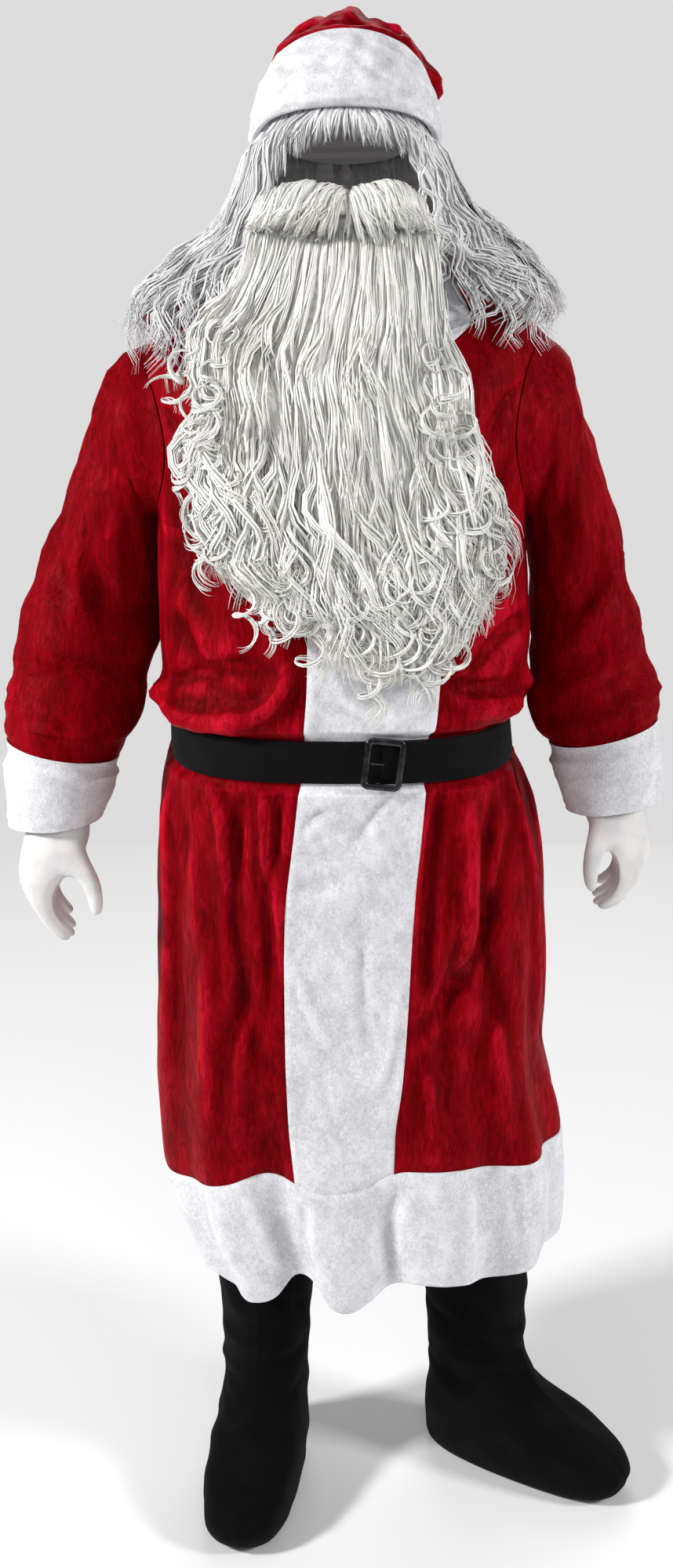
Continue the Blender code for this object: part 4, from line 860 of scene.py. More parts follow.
SLEEVE_FOLDS = (
    # section, half length in sections, turn round the sleeve from its top, half width, depth
    (1.8, 0.7, 60, 50, -0.005),
    (3.0, 0.6, 100, 55, 0.005),
    (4.1, 0.5, 80, 60, -0.007),
    (5.0, 0.45, 70, 70, 0.007),
    (5.8, 0.45, 100, 75, -0.007),
    (6.6, 0.4, 60, 70, 0.005),
    (2.6, 0.7, 250, 50, -0.005),
    (4.4, 0.6, 270, 60, 0.006),
    (5.6, 0.5, 260, 60, -0.006),
)
SECTION_LENGTH = 0.065
METRES_PER_TURN_DEGREE = 0.0014
SLEEVE_RIGHT_CREASES = (
    # from turn, section, to turn, section, bow, half width, depth
    (30, 1.2, 80, 4.6, 0.05, 0.010, -0.006),
    (70, 1.4, 120, 4.2, -0.05, 0.009, 0.005),
    (110, 1.2, 150, 3.4, 0.05, 0.010, -0.006),
    (20, 4.9, 150, 4.4, 0.08, 0.010, -0.006),
    (10, 5.6, 140, 5.3, -0.06, 0.009, 0.006),
    (40, 6.0, 165, 5.9, 0.06, 0.008, -0.006),
    (0, 6.7, 130, 6.4, 0.05, 0.008, 0.006),
    (50, 7.2, 170, 7.0, -0.06, 0.008, -0.005),
    (10, 7.6, 110, 7.5, 0.05, 0.007, 0.004),
    (60, 2.6, 100, 5.0, 0.04, 0.009, 0.005),
)
SLEEVE_LEFT_CREASES = (
    (40, 1.2, 90, 4.2, 0.05, 0.010, -0.006),
    (80, 1.2, 140, 3.8, -0.05, 0.009, 0.005),
    (120, 1.4, 100, 4.4, 0.08, 0.010, -0.007),
    (20, 3.9, 120, 5.4, 0.06, 0.009, -0.007),
    (40, 4.6, 150, 6.0, -0.05, 0.009, 0.006),
    (10, 5.2, 140, 6.7, 0.05, 0.008, -0.007),
    (30, 6.1, 160, 7.1, -0.05, 0.008, 0.006),
    (0, 6.8, 120, 7.5, 0.04, 0.007, -0.005),
)
BEHIND_SLEEVE_CREASES = (
    (200, 1.4, 240, 4.0, 0.05, 0.011, -0.006),
    (320, 1.4, 280, 4.4, -0.05, 0.011, 0.005),
    (200, 4.6, 330, 4.9, 0.05, 0.010, -0.006),
    (210, 5.5, 320, 5.2, -0.05, 0.009, 0.006),
    (200, 6.3, 330, 6.5, 0.05, 0.009, -0.006),
    (220, 7.2, 330, 7.0, 0.05, 0.008, 0.005),
)
SLEEVE_DEPTH = 0.85
SLEEVE_FINE = 12
TUBE_COLUMNS = SLEEVE_COLUMNS * 6
ELBOW_FROM = 4.0
ELBOW_TO = 5.4
CUFF_ROWS = 4
CUFF_FINE = 9
CUFF_ROLL = 0.004
CUFF_HIGH = 0.7
CUFF_RIM = 0.24
CUFF_RIM_STANDS = 0.0035
CUFF_GROOVES = (
    # share of the cuff's height, how far it wanders up and down, half width, depth
    (0.50, 0.05, 0.025, 0.0012),
    (0.90, 0.00, 0.018, 0.0016),
)
CUFF_RIGHT_EDGE = (-0.394, 0.928, -0.287, 0.938, -0.062, 0.112)
CUFF_LEFT_EDGE = (0.390, 0.966, 0.285, 0.946, -0.062, 0.112)


def full_turn(count):
    """Angles spread evenly over a full turn."""
    return 360.0 * np.arange(count) / count


def section(values, turn):
    """A point of an oval between an outer and an inner point; turn 90 is its front."""
    outer_x, outer_z, inner_x, inner_z, middle_y, depth = values
    s, c = np.sin(np.radians(turn)), np.cos(np.radians(turn))
    x = (outer_x + inner_x) / 2 + (outer_x - inner_x) / 2 * c
    z = (outer_z + inner_z) / 2 + (outer_z - inner_z) / 2 * c
    return np.stack([x, middle_y - depth / 2 * s, z - SHOULDER_LINE], axis=-1)


def armhole_point(side, turn):
    turn = turn % 360.0
    in_front = turn <= 180.0
    row = armhole_row(np.where(in_front, 180.0 - turn, turn - 180.0) / 180.0 * ARMHOLE_ROWS)
    opening = armhole_opening(row)
    return robe_surface(side * np.where(in_front, 90 - opening, 90 + opening), row)


def sleeve(name, node, side, table, creases):
    """A sleeve from its armhole over its sections to the cuff's seam."""
    rows = np.linspace(0, len(table), len(table) * SLEEVE_FINE + 1)
    turn, row = np.meshgrid(full_turn(TUBE_COLUMNS), rows)
    values = curve_at(table, row)
    points = section(values, turn)
    first = section(np.asarray(table[0][1:])[:, None, None] + 0 * turn, turn)
    share = np.clip(row, 0, 1)[..., None]
    points = np.where(row[..., None] < 1, mix(armhole_point(side, turn), first, share), points)
    middle_x, middle_z = (values[0] + values[2]) / 2, (values[1] + values[3]) / 2 - SHOULDER_LINE
    out = points - np.stack([middle_x, values[4], middle_z], axis=-1)
    swell = np.zeros_like(turn)
    for place, half_length, fold_turn, half_width, depth in SLEEVE_FOLDS:
        swell += depth * ridge(row - place, half_length) * ridge(angle_apart(turn, fold_turn), half_width)
    swell *= ease(row - 1.0) * ease(len(table) - row)
    points = points + out / np.linalg.norm(out, axis=-1, keepdims=True) * swell[..., None]
    relief = SLEEVE_DEPTH * relief_around(
        (*creases, *BEHIND_SLEEVE_CREASES), turn, row, METRES_PER_TURN_DEGREE, SECTION_LENGTH)
    upper, lower = ease((ELBOW_TO - row) / 1.5), ease((row - ELBOW_FROM) / 1.2)
    relief += fold_lines(points, (0.07, 0.07, 0.055), depth=0.0022, seed=41 + side)
    relief += fold_lines(points, (0.050, 0.060, 0.60), depth=0.0064, seed=45 + side) * upper
    relief += fold_lines(points, (0.22, 0.22, 0.036), depth=0.0046, seed=47 + side) * lower
    relief += ripples(points, (0.03, 0.03, 0.03), depth=0.0010, seed=42)
    relief *= ease(row / 0.8) * ease((len(table) - row) / 0.5)
    piece = sheet_mesh(name, points, CLOTH, red_velvet, loop=True, turned=side > 0,
                       relief=relief, sink=SEAM_SINK / 3)
    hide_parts(node)
    return piece


def cuff(name, node, side, table, edge):
    """A turned-up cuff: a rolled rim at its top, a fold round its middle and a stitched lower edge."""
    rows = np.linspace(0, CUFF_ROWS, CUFF_ROWS * CUFF_FINE + 1)
    turn, row = np.meshgrid(full_turn(TUBE_COLUMNS), rows)
    share = row / CUFF_ROWS
    last = np.asarray(table[-1][1:])[:, None, None] + 0 * turn
    low = np.asarray(edge)[:, None, None] + 0 * turn
    points = mix(section(last, turn), section(low, turn), share[..., None])
    middle_x, middle_y = (edge[0] + edge[2]) / 2, edge[4]
    out = np.stack([points[..., 0] - middle_x, points[..., 1] - middle_y, 0 * turn], axis=-1)
    out /= np.linalg.norm(out, axis=-1, keepdims=True)
    puff = CUFF_ROLL * np.sin(np.pi * share**CUFF_HIGH)
    points = points + out * puff[..., None]
    rim = CUFF_RIM + 0.04 * np.sin(np.radians(turn * 2 + 40))
    relief = CUFF_RIM_STANDS * ridge(share - rim * 0.5, 0.11) - 0.0025 * ridge(share - rim, 0.030)
    for place, wander, half_width, depth in CUFF_GROOVES:
        groove = place + wander * np.sin(np.radians(turn + 200))
        relief = relief - depth * ridge(share - groove, half_width)
    relief = relief + fold_lines(points, (0.06, 0.06, 0.05), depth=0.0020, seed=51 + side)
    piece = sheet_mesh(
        name, points, PLUSH, white_plush, loop=True, turned=side > 0, relief=relief)
    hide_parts(node)
    return piece


for side_name, side, table, edge, creases in (
    ("right", -1, SLEEVE_RIGHT, CUFF_RIGHT_EDGE, SLEEVE_RIGHT_CREASES),
    ("left", 1, SLEEVE_LEFT, CUFF_LEFT_EDGE, SLEEVE_LEFT_CREASES),
):
    tube_cloth = sleeve(f"sleeve_{side_name}_cloth", f"sleeve_{side_name}", side, table, creases)
    turned_up = cuff(f"cuff_{side_name}_plush", f"cuff_{side_name}", side, table, edge)


# Belt: a strap of stiff black cloth round the waist, stitched along both edges. Its pointed free
# end passes through the buckle and lies on the strap.
BELT_WIDTH = 0.050
BELT_ROWS = 2
BELT_LOW_ROW = SKIRT_ROWS.index(1.013)
STRAP = 0.0025
STRAP_CLEAR = 0.0008
SECOND_LAYER = 2 * (STRAP + STRAP_CLEAR) + 0.0006
FREE_END_FIRST = PLACKET_START + 3
FREE_END_COLUMNS = 10
POINT_COLUMNS = 0.7
BELT_STITCH_IN = 0.0035
EYELETS = ((6.35, 0.036), (6.05, 0.020), (8.55, 0.025))
EYELET_RADIUS = 0.0026
EYELET_DEPTH = 0.0018
BELT_STITCH_HALF = 0.0009
BELT_GROOVE = 0.0006
BELT_SINK = 0.0003


def moved_out(points, angle, distance):
    a = np.radians(angle)
    return points + np.stack([np.sin(a), -np.cos(a), 0 * a], axis=-1) * np.asarray(distance)[..., None]


def belt_on_robe(column, v, distance):
    """A point of the belt: on the straight cloth between the robe's two belt rows, moved out."""
    column = column % ROUND_COLUMNS
    below, above = ROBE_ROWS[BELT_LOW_ROW], ROBE_ROWS[BELT_LOW_ROW + 1]
    share = (BELT_HEIGHT - BELT_WIDTH / 2 + BELT_WIDTH * v / BELT_ROWS - below) / (above - below)
    low, high = (robe_surface(*robe_cell(column, np.full_like(column, BELT_LOW_ROW + k))) for k in (0, 1))
    angle = robe_place(column, np.full_like(column, BELT_HEIGHT))[0]
    return moved_out(mix(low, high, share[..., None]), angle, distance)


def bands(tree, place, scale, direction, distortion, detail=2.0):
    """Bands across one direction, such as threads or sewn rows."""
    return add_node(tree, "ShaderNodeTexWave", {
        "Vector": place, "Scale": scale, "Distortion": distortion, "Detail": detail,
    }, wave_type="BANDS", bands_direction=direction).outputs["Fac"]


def woven_black(name, thread_size, tint, roughness):
    """Matt black cloth: a fine weave in the bump, faint wear in the colour."""
    finish, tree, shader = new_finish(name)
    place = add_node(tree, "ShaderNodeTexCoord").outputs["Object"]
    threads, crossing = (bands(tree, place, 1 / thread_size, axis, distortion=1.5) for axis in "ZX")
    wear = spots(tree, place, 22.0, detail=5.0, roughness=0.6)
    dark, worn = (tuple(c * share for c in tint) for share in (0.6, 1.9))
    feed(tree, shader, {
        "Base Color": ramp(tree, wear, ((0.35, dark), (0.55, tint), (0.75, worn))),
        "Normal": raised(tree, arithmetic(tree, "ADD", threads, crossing), strength=0.25, distance=0.0006),
        "Roughness": roughness,
        "Sheen Weight": 0.02,
        "Sheen Roughness": 0.5,
        "Specular IOR Level": 0.09,
    })
    return finish


belt_cloth = woven_black("black_belt_cloth", 0.0022, (0.0026, 0.0026, 0.0032), 0.70)


def strap_relief(v):
    """A stitched groove along both edges, which are rounded off."""
    from_edge = np.minimum(v, BELT_ROWS - v) / BELT_ROWS * BELT_WIDTH
    stitched = ridge(from_edge - BELT_STITCH_IN, BELT_STITCH_HALF)
    return -BELT_GROOVE * (stitched + ridge(from_edge, 0.001))


around_strap = ROUND_COLUMNS * np.arange(ROUND_COLUMNS * 8) / (ROUND_COLUMNS * 8)
column, v = np.meshgrid(around_strap, np.linspace(0, BELT_ROWS, 17))
strap = sheet_mesh(
    "belt_strap_cloth", belt_on_robe(column, v, STRAP + STRAP_CLEAR), STRAP, belt_cloth,
    loop=True, relief=strap_relief(v), sink=BELT_SINK)
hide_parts("belt_strap")

u, v = np.meshgrid(np.linspace(0, FREE_END_COLUMNS, FREE_END_COLUMNS * 18 + 1), np.linspace(0, BELT_ROWS, 25))
pointed = POINT_COLUMNS * (1.0 - np.abs(v / BELT_ROWS * 2 - 1)) * np.maximum(u - FREE_END_COLUMNS + 1, 0.0)
points = belt_on_robe(FREE_END_FIRST + u + pointed, v, SECOND_LAYER)
dimples = strap_relief(v)
for eyelet_column, eyelet_height in EYELETS:
    eyelet_v = eyelet_height / BELT_WIDTH * BELT_ROWS
    middle = belt_on_robe(np.array([[FREE_END_FIRST + eyelet_column]]), np.array([[eyelet_v]]), SECOND_LAYER)
    off = np.linalg.norm(points - middle[0, 0], axis=-1)
    dimples = dimples - EYELET_DEPTH * np.exp(-((off / EYELET_RADIUS) ** 4))
free_end = sheet_mesh(
    "belt_free_end_cloth", points, STRAP, belt_cloth, relief=dimples, sink=BELT_SINK)
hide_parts("belt_free_end")


# Buckle: a cast frame with rounded corners and bevelled bars in dark plated metal, its prong
# hinged on the left bar and lying across the strap.
BUCKLE_X = 0.053
BUCKLE_WIDTH = 0.047
BUCKLE_HEIGHT = 0.061
BUCKLE_BAR = 0.0075
BUCKLE_THICK = 0.0036
BUCKLE_LEAN = 7.0
BUCKLE_CLEAR = 0.0016
BUCKLE_CORNER = 0.0055
BUCKLE_SQUARE = 3.2
BAR_SIDES = 20
CORNER_STEPS = 8
PRONG_LENGTH = 0.017
PRONG_THICK = 0.0026
PRONG_SIDES = 14
PRONG_CLEAR = 0.0003


def at_one(angle, height):
    return Vector(robe_surface(np.array(float(angle)), np.array(float(height))))


buckle_angle = float(angle_at(np.array(BUCKLE_X), np.array(BELT_HEIGHT)))
around_it = at_one(buckle_angle + 0.5, BELT_HEIGHT) - at_one(buckle_angle - 0.5, BELT_HEIGHT)
up_it = at_one(buckle_angle, BELT_HEIGHT + 0.002) - at_one(buckle_angle, BELT_HEIGHT - 0.002)
facing = around_it.cross(up_it).normalized()
turn_out = math.radians(buckle_angle)
outward = Vector((math.sin(turn_out), -math.cos(turn_out), 0))
on_strap = at_one(buckle_angle, BELT_HEIGHT) + outward * SECOND_LAYER
buckle_place = (
    Matrix.Translation(on_strap + facing * (BUCKLE_THICK / 2 + BUCKLE_CLEAR))
    @ Matrix.Rotation(math.atan2(facing.x, -facing.y), 4, "Z")
    @ Matrix.Rotation(math.radians(BUCKLE_LEAN), 4, "Y")
)


def plated_metal(name):
    """Dark plating, clouded and a little uneven."""
    finish, tree, shader = new_finish(name)
    clouds = spots(tree, add_node(tree, "ShaderNodeTexCoord").outputs["Object"], 120.0, detail=4.0)
    rough = add_node(tree, "ShaderNodeMapRange", {"Value": clouds, "To Min": 0.20, "To Max": 0.42})
    feed(tree, shader, {
        "Base Color": ramp(tree, clouds, ((0.35, (0.035, 0.036, 0.040)), (0.65, (0.085, 0.086, 0.092)))),
        "Roughness": rough.outputs[0],
        "Normal": raised(tree, clouds, strength=0.08, distance=0.0004),
        "Metallic": 1.0,
    })
    return finish


def cast_piece(name, points, faces, finish, slot):
    mesh = bpy.data.meshes.new(name)
    mesh.from_pydata([tuple(p) for p in points], [], faces)
    mesh.shade_smooth()
    mesh.set_sharp_from_angle(angle=math.radians(50))
    return cut_piece(name, mesh, finish)


def ring_faces(rings, sides, closed):
    faces = []
    for i in range(rings if closed else rings - 1):
        near, far = i * sides, (i + 1) % rings * sides
        for k in range(sides):
            m = (k + 1) % sides
            faces.append((near + k, near + m, far + m, far + k))
    return faces


def buckle_frame():
    """A bevelled bar carried round a rectangle with round corners."""
    half_x, half_z = (BUCKLE_WIDTH - BUCKLE_BAR) / 2, (BUCKLE_HEIGHT - BUCKLE_BAR) / 2
    profile = []
    for k in range(BAR_SIDES):
        a = 2 * math.pi * k / BAR_SIDES
        c, s = math.cos(a), math.sin(a)
        reach = 1 / (abs(c) ** BUCKLE_SQUARE + abs(s) ** BUCKLE_SQUARE) ** (1 / BUCKLE_SQUARE)
        profile.append((c * reach * BUCKLE_BAR / 2, s * reach * BUCKLE_THICK / 2))
    points, rings = [], 0
    for sx, sz, start in ((1, 1, 0), (-1, 1, 90), (-1, -1, 180), (1, -1, 270)):
        for step in range(CORNER_STEPS + 1):
            a = math.radians(start + 90 * step / CORNER_STEPS)
            c, s = math.cos(a), math.sin(a)
            x = sx * (half_x - BUCKLE_CORNER) + BUCKLE_CORNER * c
            z = sz * (half_z - BUCKLE_CORNER) + BUCKLE_CORNER * s
            for across, deep in profile:
                points.append(buckle_place @ Vector((x + across * c, -deep, z + across * s)))
            rings += 1
    return points, ring_faces(rings, len(profile), True)


def buckle_prong():
    """A round bar that thins towards its tip, starting at the left bar of the frame."""
    start = -(BUCKLE_WIDTH - BUCKLE_BAR) / 2 + BUCKLE_BAR / 2 + PRONG_CLEAR
    points, rings = [], 0
    for t in (0.0, 0.04, 0.15, 0.4, 0.7, 0.9, 0.97, 1.0):
        radius = PRONG_THICK / 2 * mix(1.05, 0.7, t) * min(1.0, 0.45 + 6 * t, 0.35 + 7 * (1 - t))
        for k in range(PRONG_SIDES):
            a = 2 * math.pi * k / PRONG_SIDES
            deep = BUCKLE_THICK / 2 - PRONG_THICK / 2 + radius * math.cos(a)
            points.append(buckle_place @ Vector((start + PRONG_LENGTH * t, deep, radius * math.sin(a))))
        rings += 1
    faces = ring_faces(rings, PRONG_SIDES, False)
    faces.append(tuple(reversed(range(PRONG_SIDES))))
    faces.append(tuple(range((rings - 1) * PRONG_SIDES, rings * PRONG_SIDES)))
    return points, faces


buckle_metal = plated_metal("dark_plated_metal")
frame_piece = cast_piece("buckle_frame_cast", *buckle_frame(), buckle_metal, "dark_metal")
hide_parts("buckle_frame")
prong_piece = cast_piece("buckle_prong_cast", *buckle_prong(), buckle_metal, "dark_metal")
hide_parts("buckle_prong")


# Collar: a soft roll of the white plush, sewn inside the robe's neck and turned down on it.
COLLAR_COLUMNS = 24
COLLAR_ROWS = 3
COLLAR_FIRST = PLACKET_END - 1.6
COLLAR_LAST = ROUND_COLUMNS + PLACKET_START + 1.6
COLLAR_FALL_SIDE = 0.72
COLLAR_FALL_FRONT = 1.5
COLLAR_STAND = 0.016
COLLAR_CLEAR = 0.0050
COLLAR_PUFF = 0.004
COLLAR_SINK = 0.0005


def robe_normal(angle, height):
    around_it = robe_surface(angle + 0.5, height) - robe_surface(angle - 0.5, height)
    up_it = robe_surface(angle, np.minimum(height + 0.002, NECK_SIDE)) - robe_surface(angle, height - 0.002)
    out = np.cross(around_it, up_it)
    return out / np.linalg.norm(out, axis=-1, keepdims=True)


u, v = np.meshgrid(np.linspace(0, COLLAR_COLUMNS, COLLAR_COLUMNS * 6 + 1), np.linspace(0, COLLAR_ROWS, 19))
column = mix(COLLAR_FIRST, COLLAR_LAST, u / COLLAR_COLUMNS) % ROUND_COLUMNS
facing_front = np.maximum(np.cos(np.radians(robe_cell(column, np.full_like(column, TOP_ROW))[0])), 0.0)
fall = v / COLLAR_ROWS
angle, height = robe_cell(column, TOP_ROW - mix(COLLAR_FALL_SIDE, COLLAR_FALL_FRONT, facing_front**4) * fall)
out = COLLAR_CLEAR + COLLAR_PUFF * np.sin(np.pi * fall)
points = robe_surface(angle, height) + robe_normal(angle, height) * out[..., None]
points[..., 2] += COLLAR_STAND * (1 - fall) ** 2
relief = ripples(points, (0.04, 0.04, 0.04), depth=0.0012, seed=61)
collar = sheet_mesh(
    "collar_plush", points, PLUSH, white_plush, turned=True, relief=relief, sink=COLLAR_SINK)
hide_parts("collar")


# Hat: a crown of the red velvet whose tail folds over to the back, and a wide band of white plush
# sewn round its mouth and turned up.
HAT_COLUMNS = 20
BAND_FINE = 9
BAND_POINTS_UP = 41
BAND_THICK = 0.007
BAND_SINK = 0.002
BAND_PUFF = 0.003
BAND_SETTLED = 0.002
BAND_METRES_PER_DEGREE = METRES_PER_DEGREE / 2
BAND_RINGS = (
    # share of the height, left, right, front, back
    (0.00, -0.095, 0.115, 0.112, 0.100),
    (0.15, -0.098, 0.118, 0.116, 0.103),
    (0.50, -0.094, 0.115, 0.106, 0.100),
    (0.85, -0.088, 0.110, 0.082, 0.094),
    (1.00, -0.082, 0.104, 0.067, 0.087),
)
CROWN_CLEAR = 0.0012
CROWN_FROM = 0.6
BAND_LOW_SIDE = 1.706
BAND_LOW_TILT = 0.036
BAND_TALL = (0.084, 0.058, 0.066)
CROWN_SECTIONS = (
    # section, centre x, y, z, half width, half depth
    (2, 0.014, 0.016, 1.796, 0.080, 0.058),
    (3, 0.022, 0.030, 1.808, 0.062, 0.042),
    (4, 0.044, 0.058, 1.806, 0.053, 0.028),
    (5, 0.066, 0.092, 1.786, 0.045, 0.026),
    (6, 0.078, 0.122, 1.750, 0.040, 0.022),
    (7, 0.083, 0.138, 1.706, 0.033, 0.018),
    (8, 0.085, 0.146, 1.655, 0.024, 0.014),
    (9, 0.085, 0.150, 1.610, 0.010, 0.008),
)
CROWN_ROWS = 9
CROWN_FINE = 10
CROWN_COLUMNS = HAT_COLUMNS * 6
TIP_ROWS = 0.5
TIP_BELOW = 0.004
BAND_CREASES = (
    # from angle, share, to angle, share, bow, half width in metres, depth
    (-48, 0.78, -8, 0.62, 0.10, 0.006, -0.0035),
    (-38, 0.30, 6, 0.42, -0.10, 0.006, -0.0030),
    (-20, 0.95, 24, 0.70, 0.10, 0.006, 0.0030),
    (8, 0.52, 46, 0.30, 0.10, 0.006, -0.0035),
    (20, 0.86, 58, 0.66, -0.08, 0.006, -0.0030),
    (52, 0.50, 84, 0.34, 0.05, 0.006, -0.0030),
    (-84, 0.45, -56, 0.62, 0.05, 0.006, -0.0030),
    (110, 0.60, 150, 0.45, 0.06, 0.007, -0.0030),
    (165, 0.40, 205, 0.58, 0.06, 0.007, -0.0030),
    (215, 0.62, 255, 0.45, 0.06, 0.007, -0.0030),
)
CROWN_CREASES = (
    # from angle, row, to angle, row, bow, half width in metres, depth
    (-60, 1.3, -20, 4.2, 0.05, 0.009, -0.006),
    (-25, 1.5, 10, 3.6, 0.04, 0.008, 0.005),
    (0, 1.4, 30, 4.4, -0.05, 0.009, -0.006),
    (35, 1.3, 55, 3.8, 0.05, 0.008, 0.005),
    (60, 1.5, 80, 5.0, 0.04, 0.009, -0.006),
    (100, 1.6, 110, 6.0, 0.04, 0.009, 0.005),
    (135, 2.0, 140, 7.0, -0.04, 0.009, -0.006),
    (175, 2.0, 180, 7.4, 0.04, 0.009, 0.005),
    (215, 1.8, 205, 6.4, -0.04, 0.009, -0.006),
    (255, 1.5, 235, 5.0, 0.04, 0.009, 0.005),
    (-10, 5.0, 10, 8.0, 0.03, 0.008, -0.005),
    (60, 5.4, 70, 8.0, 0.03, 0.007, -0.004),
)
CROWN_RADIUS = 0.060
CROWN_PUFF = 0.011
CROWN_SLUMP = (0.020, 0.0, -0.020)
SLUMP_AT = 82.0
SLUMP_HALF = 32.0
CROWN_ROW_LENGTH = 0.034


def ring_point(left, right, front, back, angle, squareness=0.12):
    s, c = np.sin(np.radians(angle)), np.cos(np.radians(angle))
    x = (left + right) / 2 + (right - left) / 2 * s * (1 + squareness * c * c)
    return x, -np.where(c > 0, front, back) * c * (1 + squareness * s * s)


def band_surface(angle, share):
    x, y = ring_point(*curve_at(BAND_RINGS, share), angle)
    c = np.cos(np.radians(angle))
    tall = mix(BAND_TALL[1], np.where(c > 0, BAND_TALL[0], BAND_TALL[2]), np.abs(c) ** 1.5)
    return np.stack([x, y, BAND_LOW_SIDE + BAND_LOW_TILT * c + tall * share - SHOULDER_LINE], axis=-1)


def unit(vectors):
    return vectors / np.maximum(np.linalg.norm(vectors, axis=-1, keepdims=True), 1e-12)


def crown_section(row, angle):
    x, y, z, half_width, half_depth = curve_at(CROWN_SECTIONS, row)
    ahead = np.stack(curve_at(CROWN_SECTIONS, row + 0.05)[:3], axis=-1)
    behind = np.stack(curve_at(CROWN_SECTIONS, row - 0.05)[:3], axis=-1)
    along = unit(ahead - behind)
    early = np.clip(row - 2, 0, 1)[..., None]
    along = unit(mix(np.array((0, 0.53, 0.85)), along, early))
    side = unit(np.array((1.0, 0, 0)) - along * along[..., :1])
    deep = np.cross(along, side)
    s, c = np.sin(np.radians(angle))[..., None], np.cos(np.radians(angle))[..., None]
    middle = np.stack([x, y, z - SHOULDER_LINE], axis=-1)
    return middle + side * s * half_width[..., None] - deep * c * half_depth[..., None]


def inside_band(angle, share):
    around_it = band_surface(angle + 0.5, share) - band_surface(angle - 0.5, share)
    up_it = band_surface(angle, np.minimum(share + 0.02, 1.0)) - band_surface(angle, share - 0.02)
    return band_surface(angle, share) - unit(np.cross(around_it, up_it)) * (BAND_THICK + CROWN_CLEAR)


def crown_surface(angle, row):
    inside = inside_band(angle, mix(CROWN_FROM, 1.0, np.clip(row, 0, 1)))
    rising = mix(inside, crown_section(np.full_like(row, 2), angle), np.clip(row - 1, 0, 1)[..., None])
    shape = np.where(row[..., None] < 2, rising, crown_section(np.clip(row, 2, 9), angle))
    tip_x, tip_y, tip_z = CROWN_SECTIONS[-1][1:4]
    tip = np.array((tip_x, tip_y, tip_z - SHOULDER_LINE - TIP_BELOW))
    return mix(shape, tip, (np.clip((row - CROWN_ROWS) / TIP_ROWS, 0, 1) ** 2 * 0.97)[..., None])


angle, share = np.meshgrid(full_turn(HAT_COLUMNS * BAND_FINE), np.linspace(0, 1, BAND_POINTS_UP))
points = band_surface(angle, share)
relief = relief_around(BAND_CREASES, wrapped(angle), share, BAND_METRES_PER_DEGREE, BAND_TALL[0])
relief += ripples(points, (0.035, 0.035, 0.030), depth=0.0022, seed=71)
relief += BAND_PUFF * np.sin(np.pi * share) ** 0.5 - BAND_SETTLED
hat_band = sheet_mesh(
    "hat_band_plush", points, BAND_THICK - 0.001, white_plush, loop=True,
    relief=relief * ease(np.minimum(share, 1 - share) / 0.1), sink=BAND_SINK)
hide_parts("hat_band")

rows = np.linspace(0, CROWN_ROWS, CROWN_ROWS * CROWN_FINE + 1)
rows = np.concatenate([rows, CROWN_ROWS + np.linspace(0.125, TIP_ROWS, 4)])
angle, row = np.meshgrid(full_turn(CROWN_COLUMNS), rows)
points = crown_surface(angle, row)
slumped = ease((row - 1.1) / 0.5) * ease((3.6 - row) / 1.6) * ridge(angle_apart(angle, SLUMP_AT), SLUMP_HALF)
points = points + slumped[..., None] * np.array(CROWN_SLUMP)
relief = relief_around(
    CROWN_CREASES, wrapped(angle), row, math.radians(1) * CROWN_RADIUS, CROWN_ROW_LENGTH)
relief += fold_lines(points, (0.04, 0.04, 0.05), depth=0.0035, seed=81)
relief += ripples(points, (0.02, 0.02, 0.02), depth=0.0008, seed=82) - 0.004
relief *= ease((row - 1.05) / 0.6) * ease((CROWN_ROWS + 0.3 - row) / 2.0)
relief += CROWN_PUFF * ease((row - 0.8) / 0.7) * ease((5.0 - row) / 3.0)
hat_crown = sheet_mesh(
    "hat_crown_cloth", points, CLOTH, red_velvet, loop=True, relief=relief, sink=0.0)
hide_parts("hat_crown")


# Wig: glossy synthetic hair sewn in rows on a net cap that the hat covers. Long wavy locks spread
# on the robe's shoulders, and a short fringe is rolled to both sides above the wig's opening.
WIG_OPENING_ANGLE = 37.0
WIG_TOP = 1.730
WIG_RINGS = (
    # height, left, right, front, back
    (1.44, -0.248, 0.262, 0.135, 0.1565),
    (1.50, -0.244, 0.260, 0.130, 0.1465),
    (1.542, -0.226, 0.252, 0.112, 0.137),
    (1.575, -0.190, 0.226, 0.098, 0.138),
    (1.600, -0.160, 0.194, 0.092, 0.128),
    (1.622, -0.137, 0.172, 0.092, 0.122),
    (1.650, -0.119, 0.146, 0.096, 0.118),
    (1.675, -0.109, 0.131, 0.102, 0.114),
    (1.690, -0.103, 0.123, 0.108, 0.107),
    (1.703, -0.0878, 0.1078, 0.1046, 0.0929),
    (1.760, -0.0853, 0.1053, 0.0976, 0.0904),
)
WIG_EDGE = (
    # angle, height of the hair's lower edge
    (30, 1.596),
    (40, 1.574),
    (52, 1.552),
    (65, 1.538),
    (90, 1.530),
    (120, 1.500),
    (150, 1.470),
    (180, 1.445),
    (210, 1.455),
    (240, 1.480),
    (270, 1.508),
    (300, 1.510),
    (315, 1.522),
    (330, 1.545),
)
HAIR_SEED = 5
WIG_LOCKS = 240
WIG_STEPS = 19
WIG_LAYERS = 0.080
WISP_DROP = 0.075
WISP_TURN = 17.0
FRINGE_LOW = 1.679
FRINGE_ROOT = 1.718
FRINGE_REACH = 34.0
FRINGE_LIMIT = 36.0
FRINGE_LOCKS = 84
FRINGE_STEPS = 11
CAP_UNDER = 0.0032
CAP_SHORTER = 0.022
CAP_NET = 0.0015
TOP_NET = 0.0010
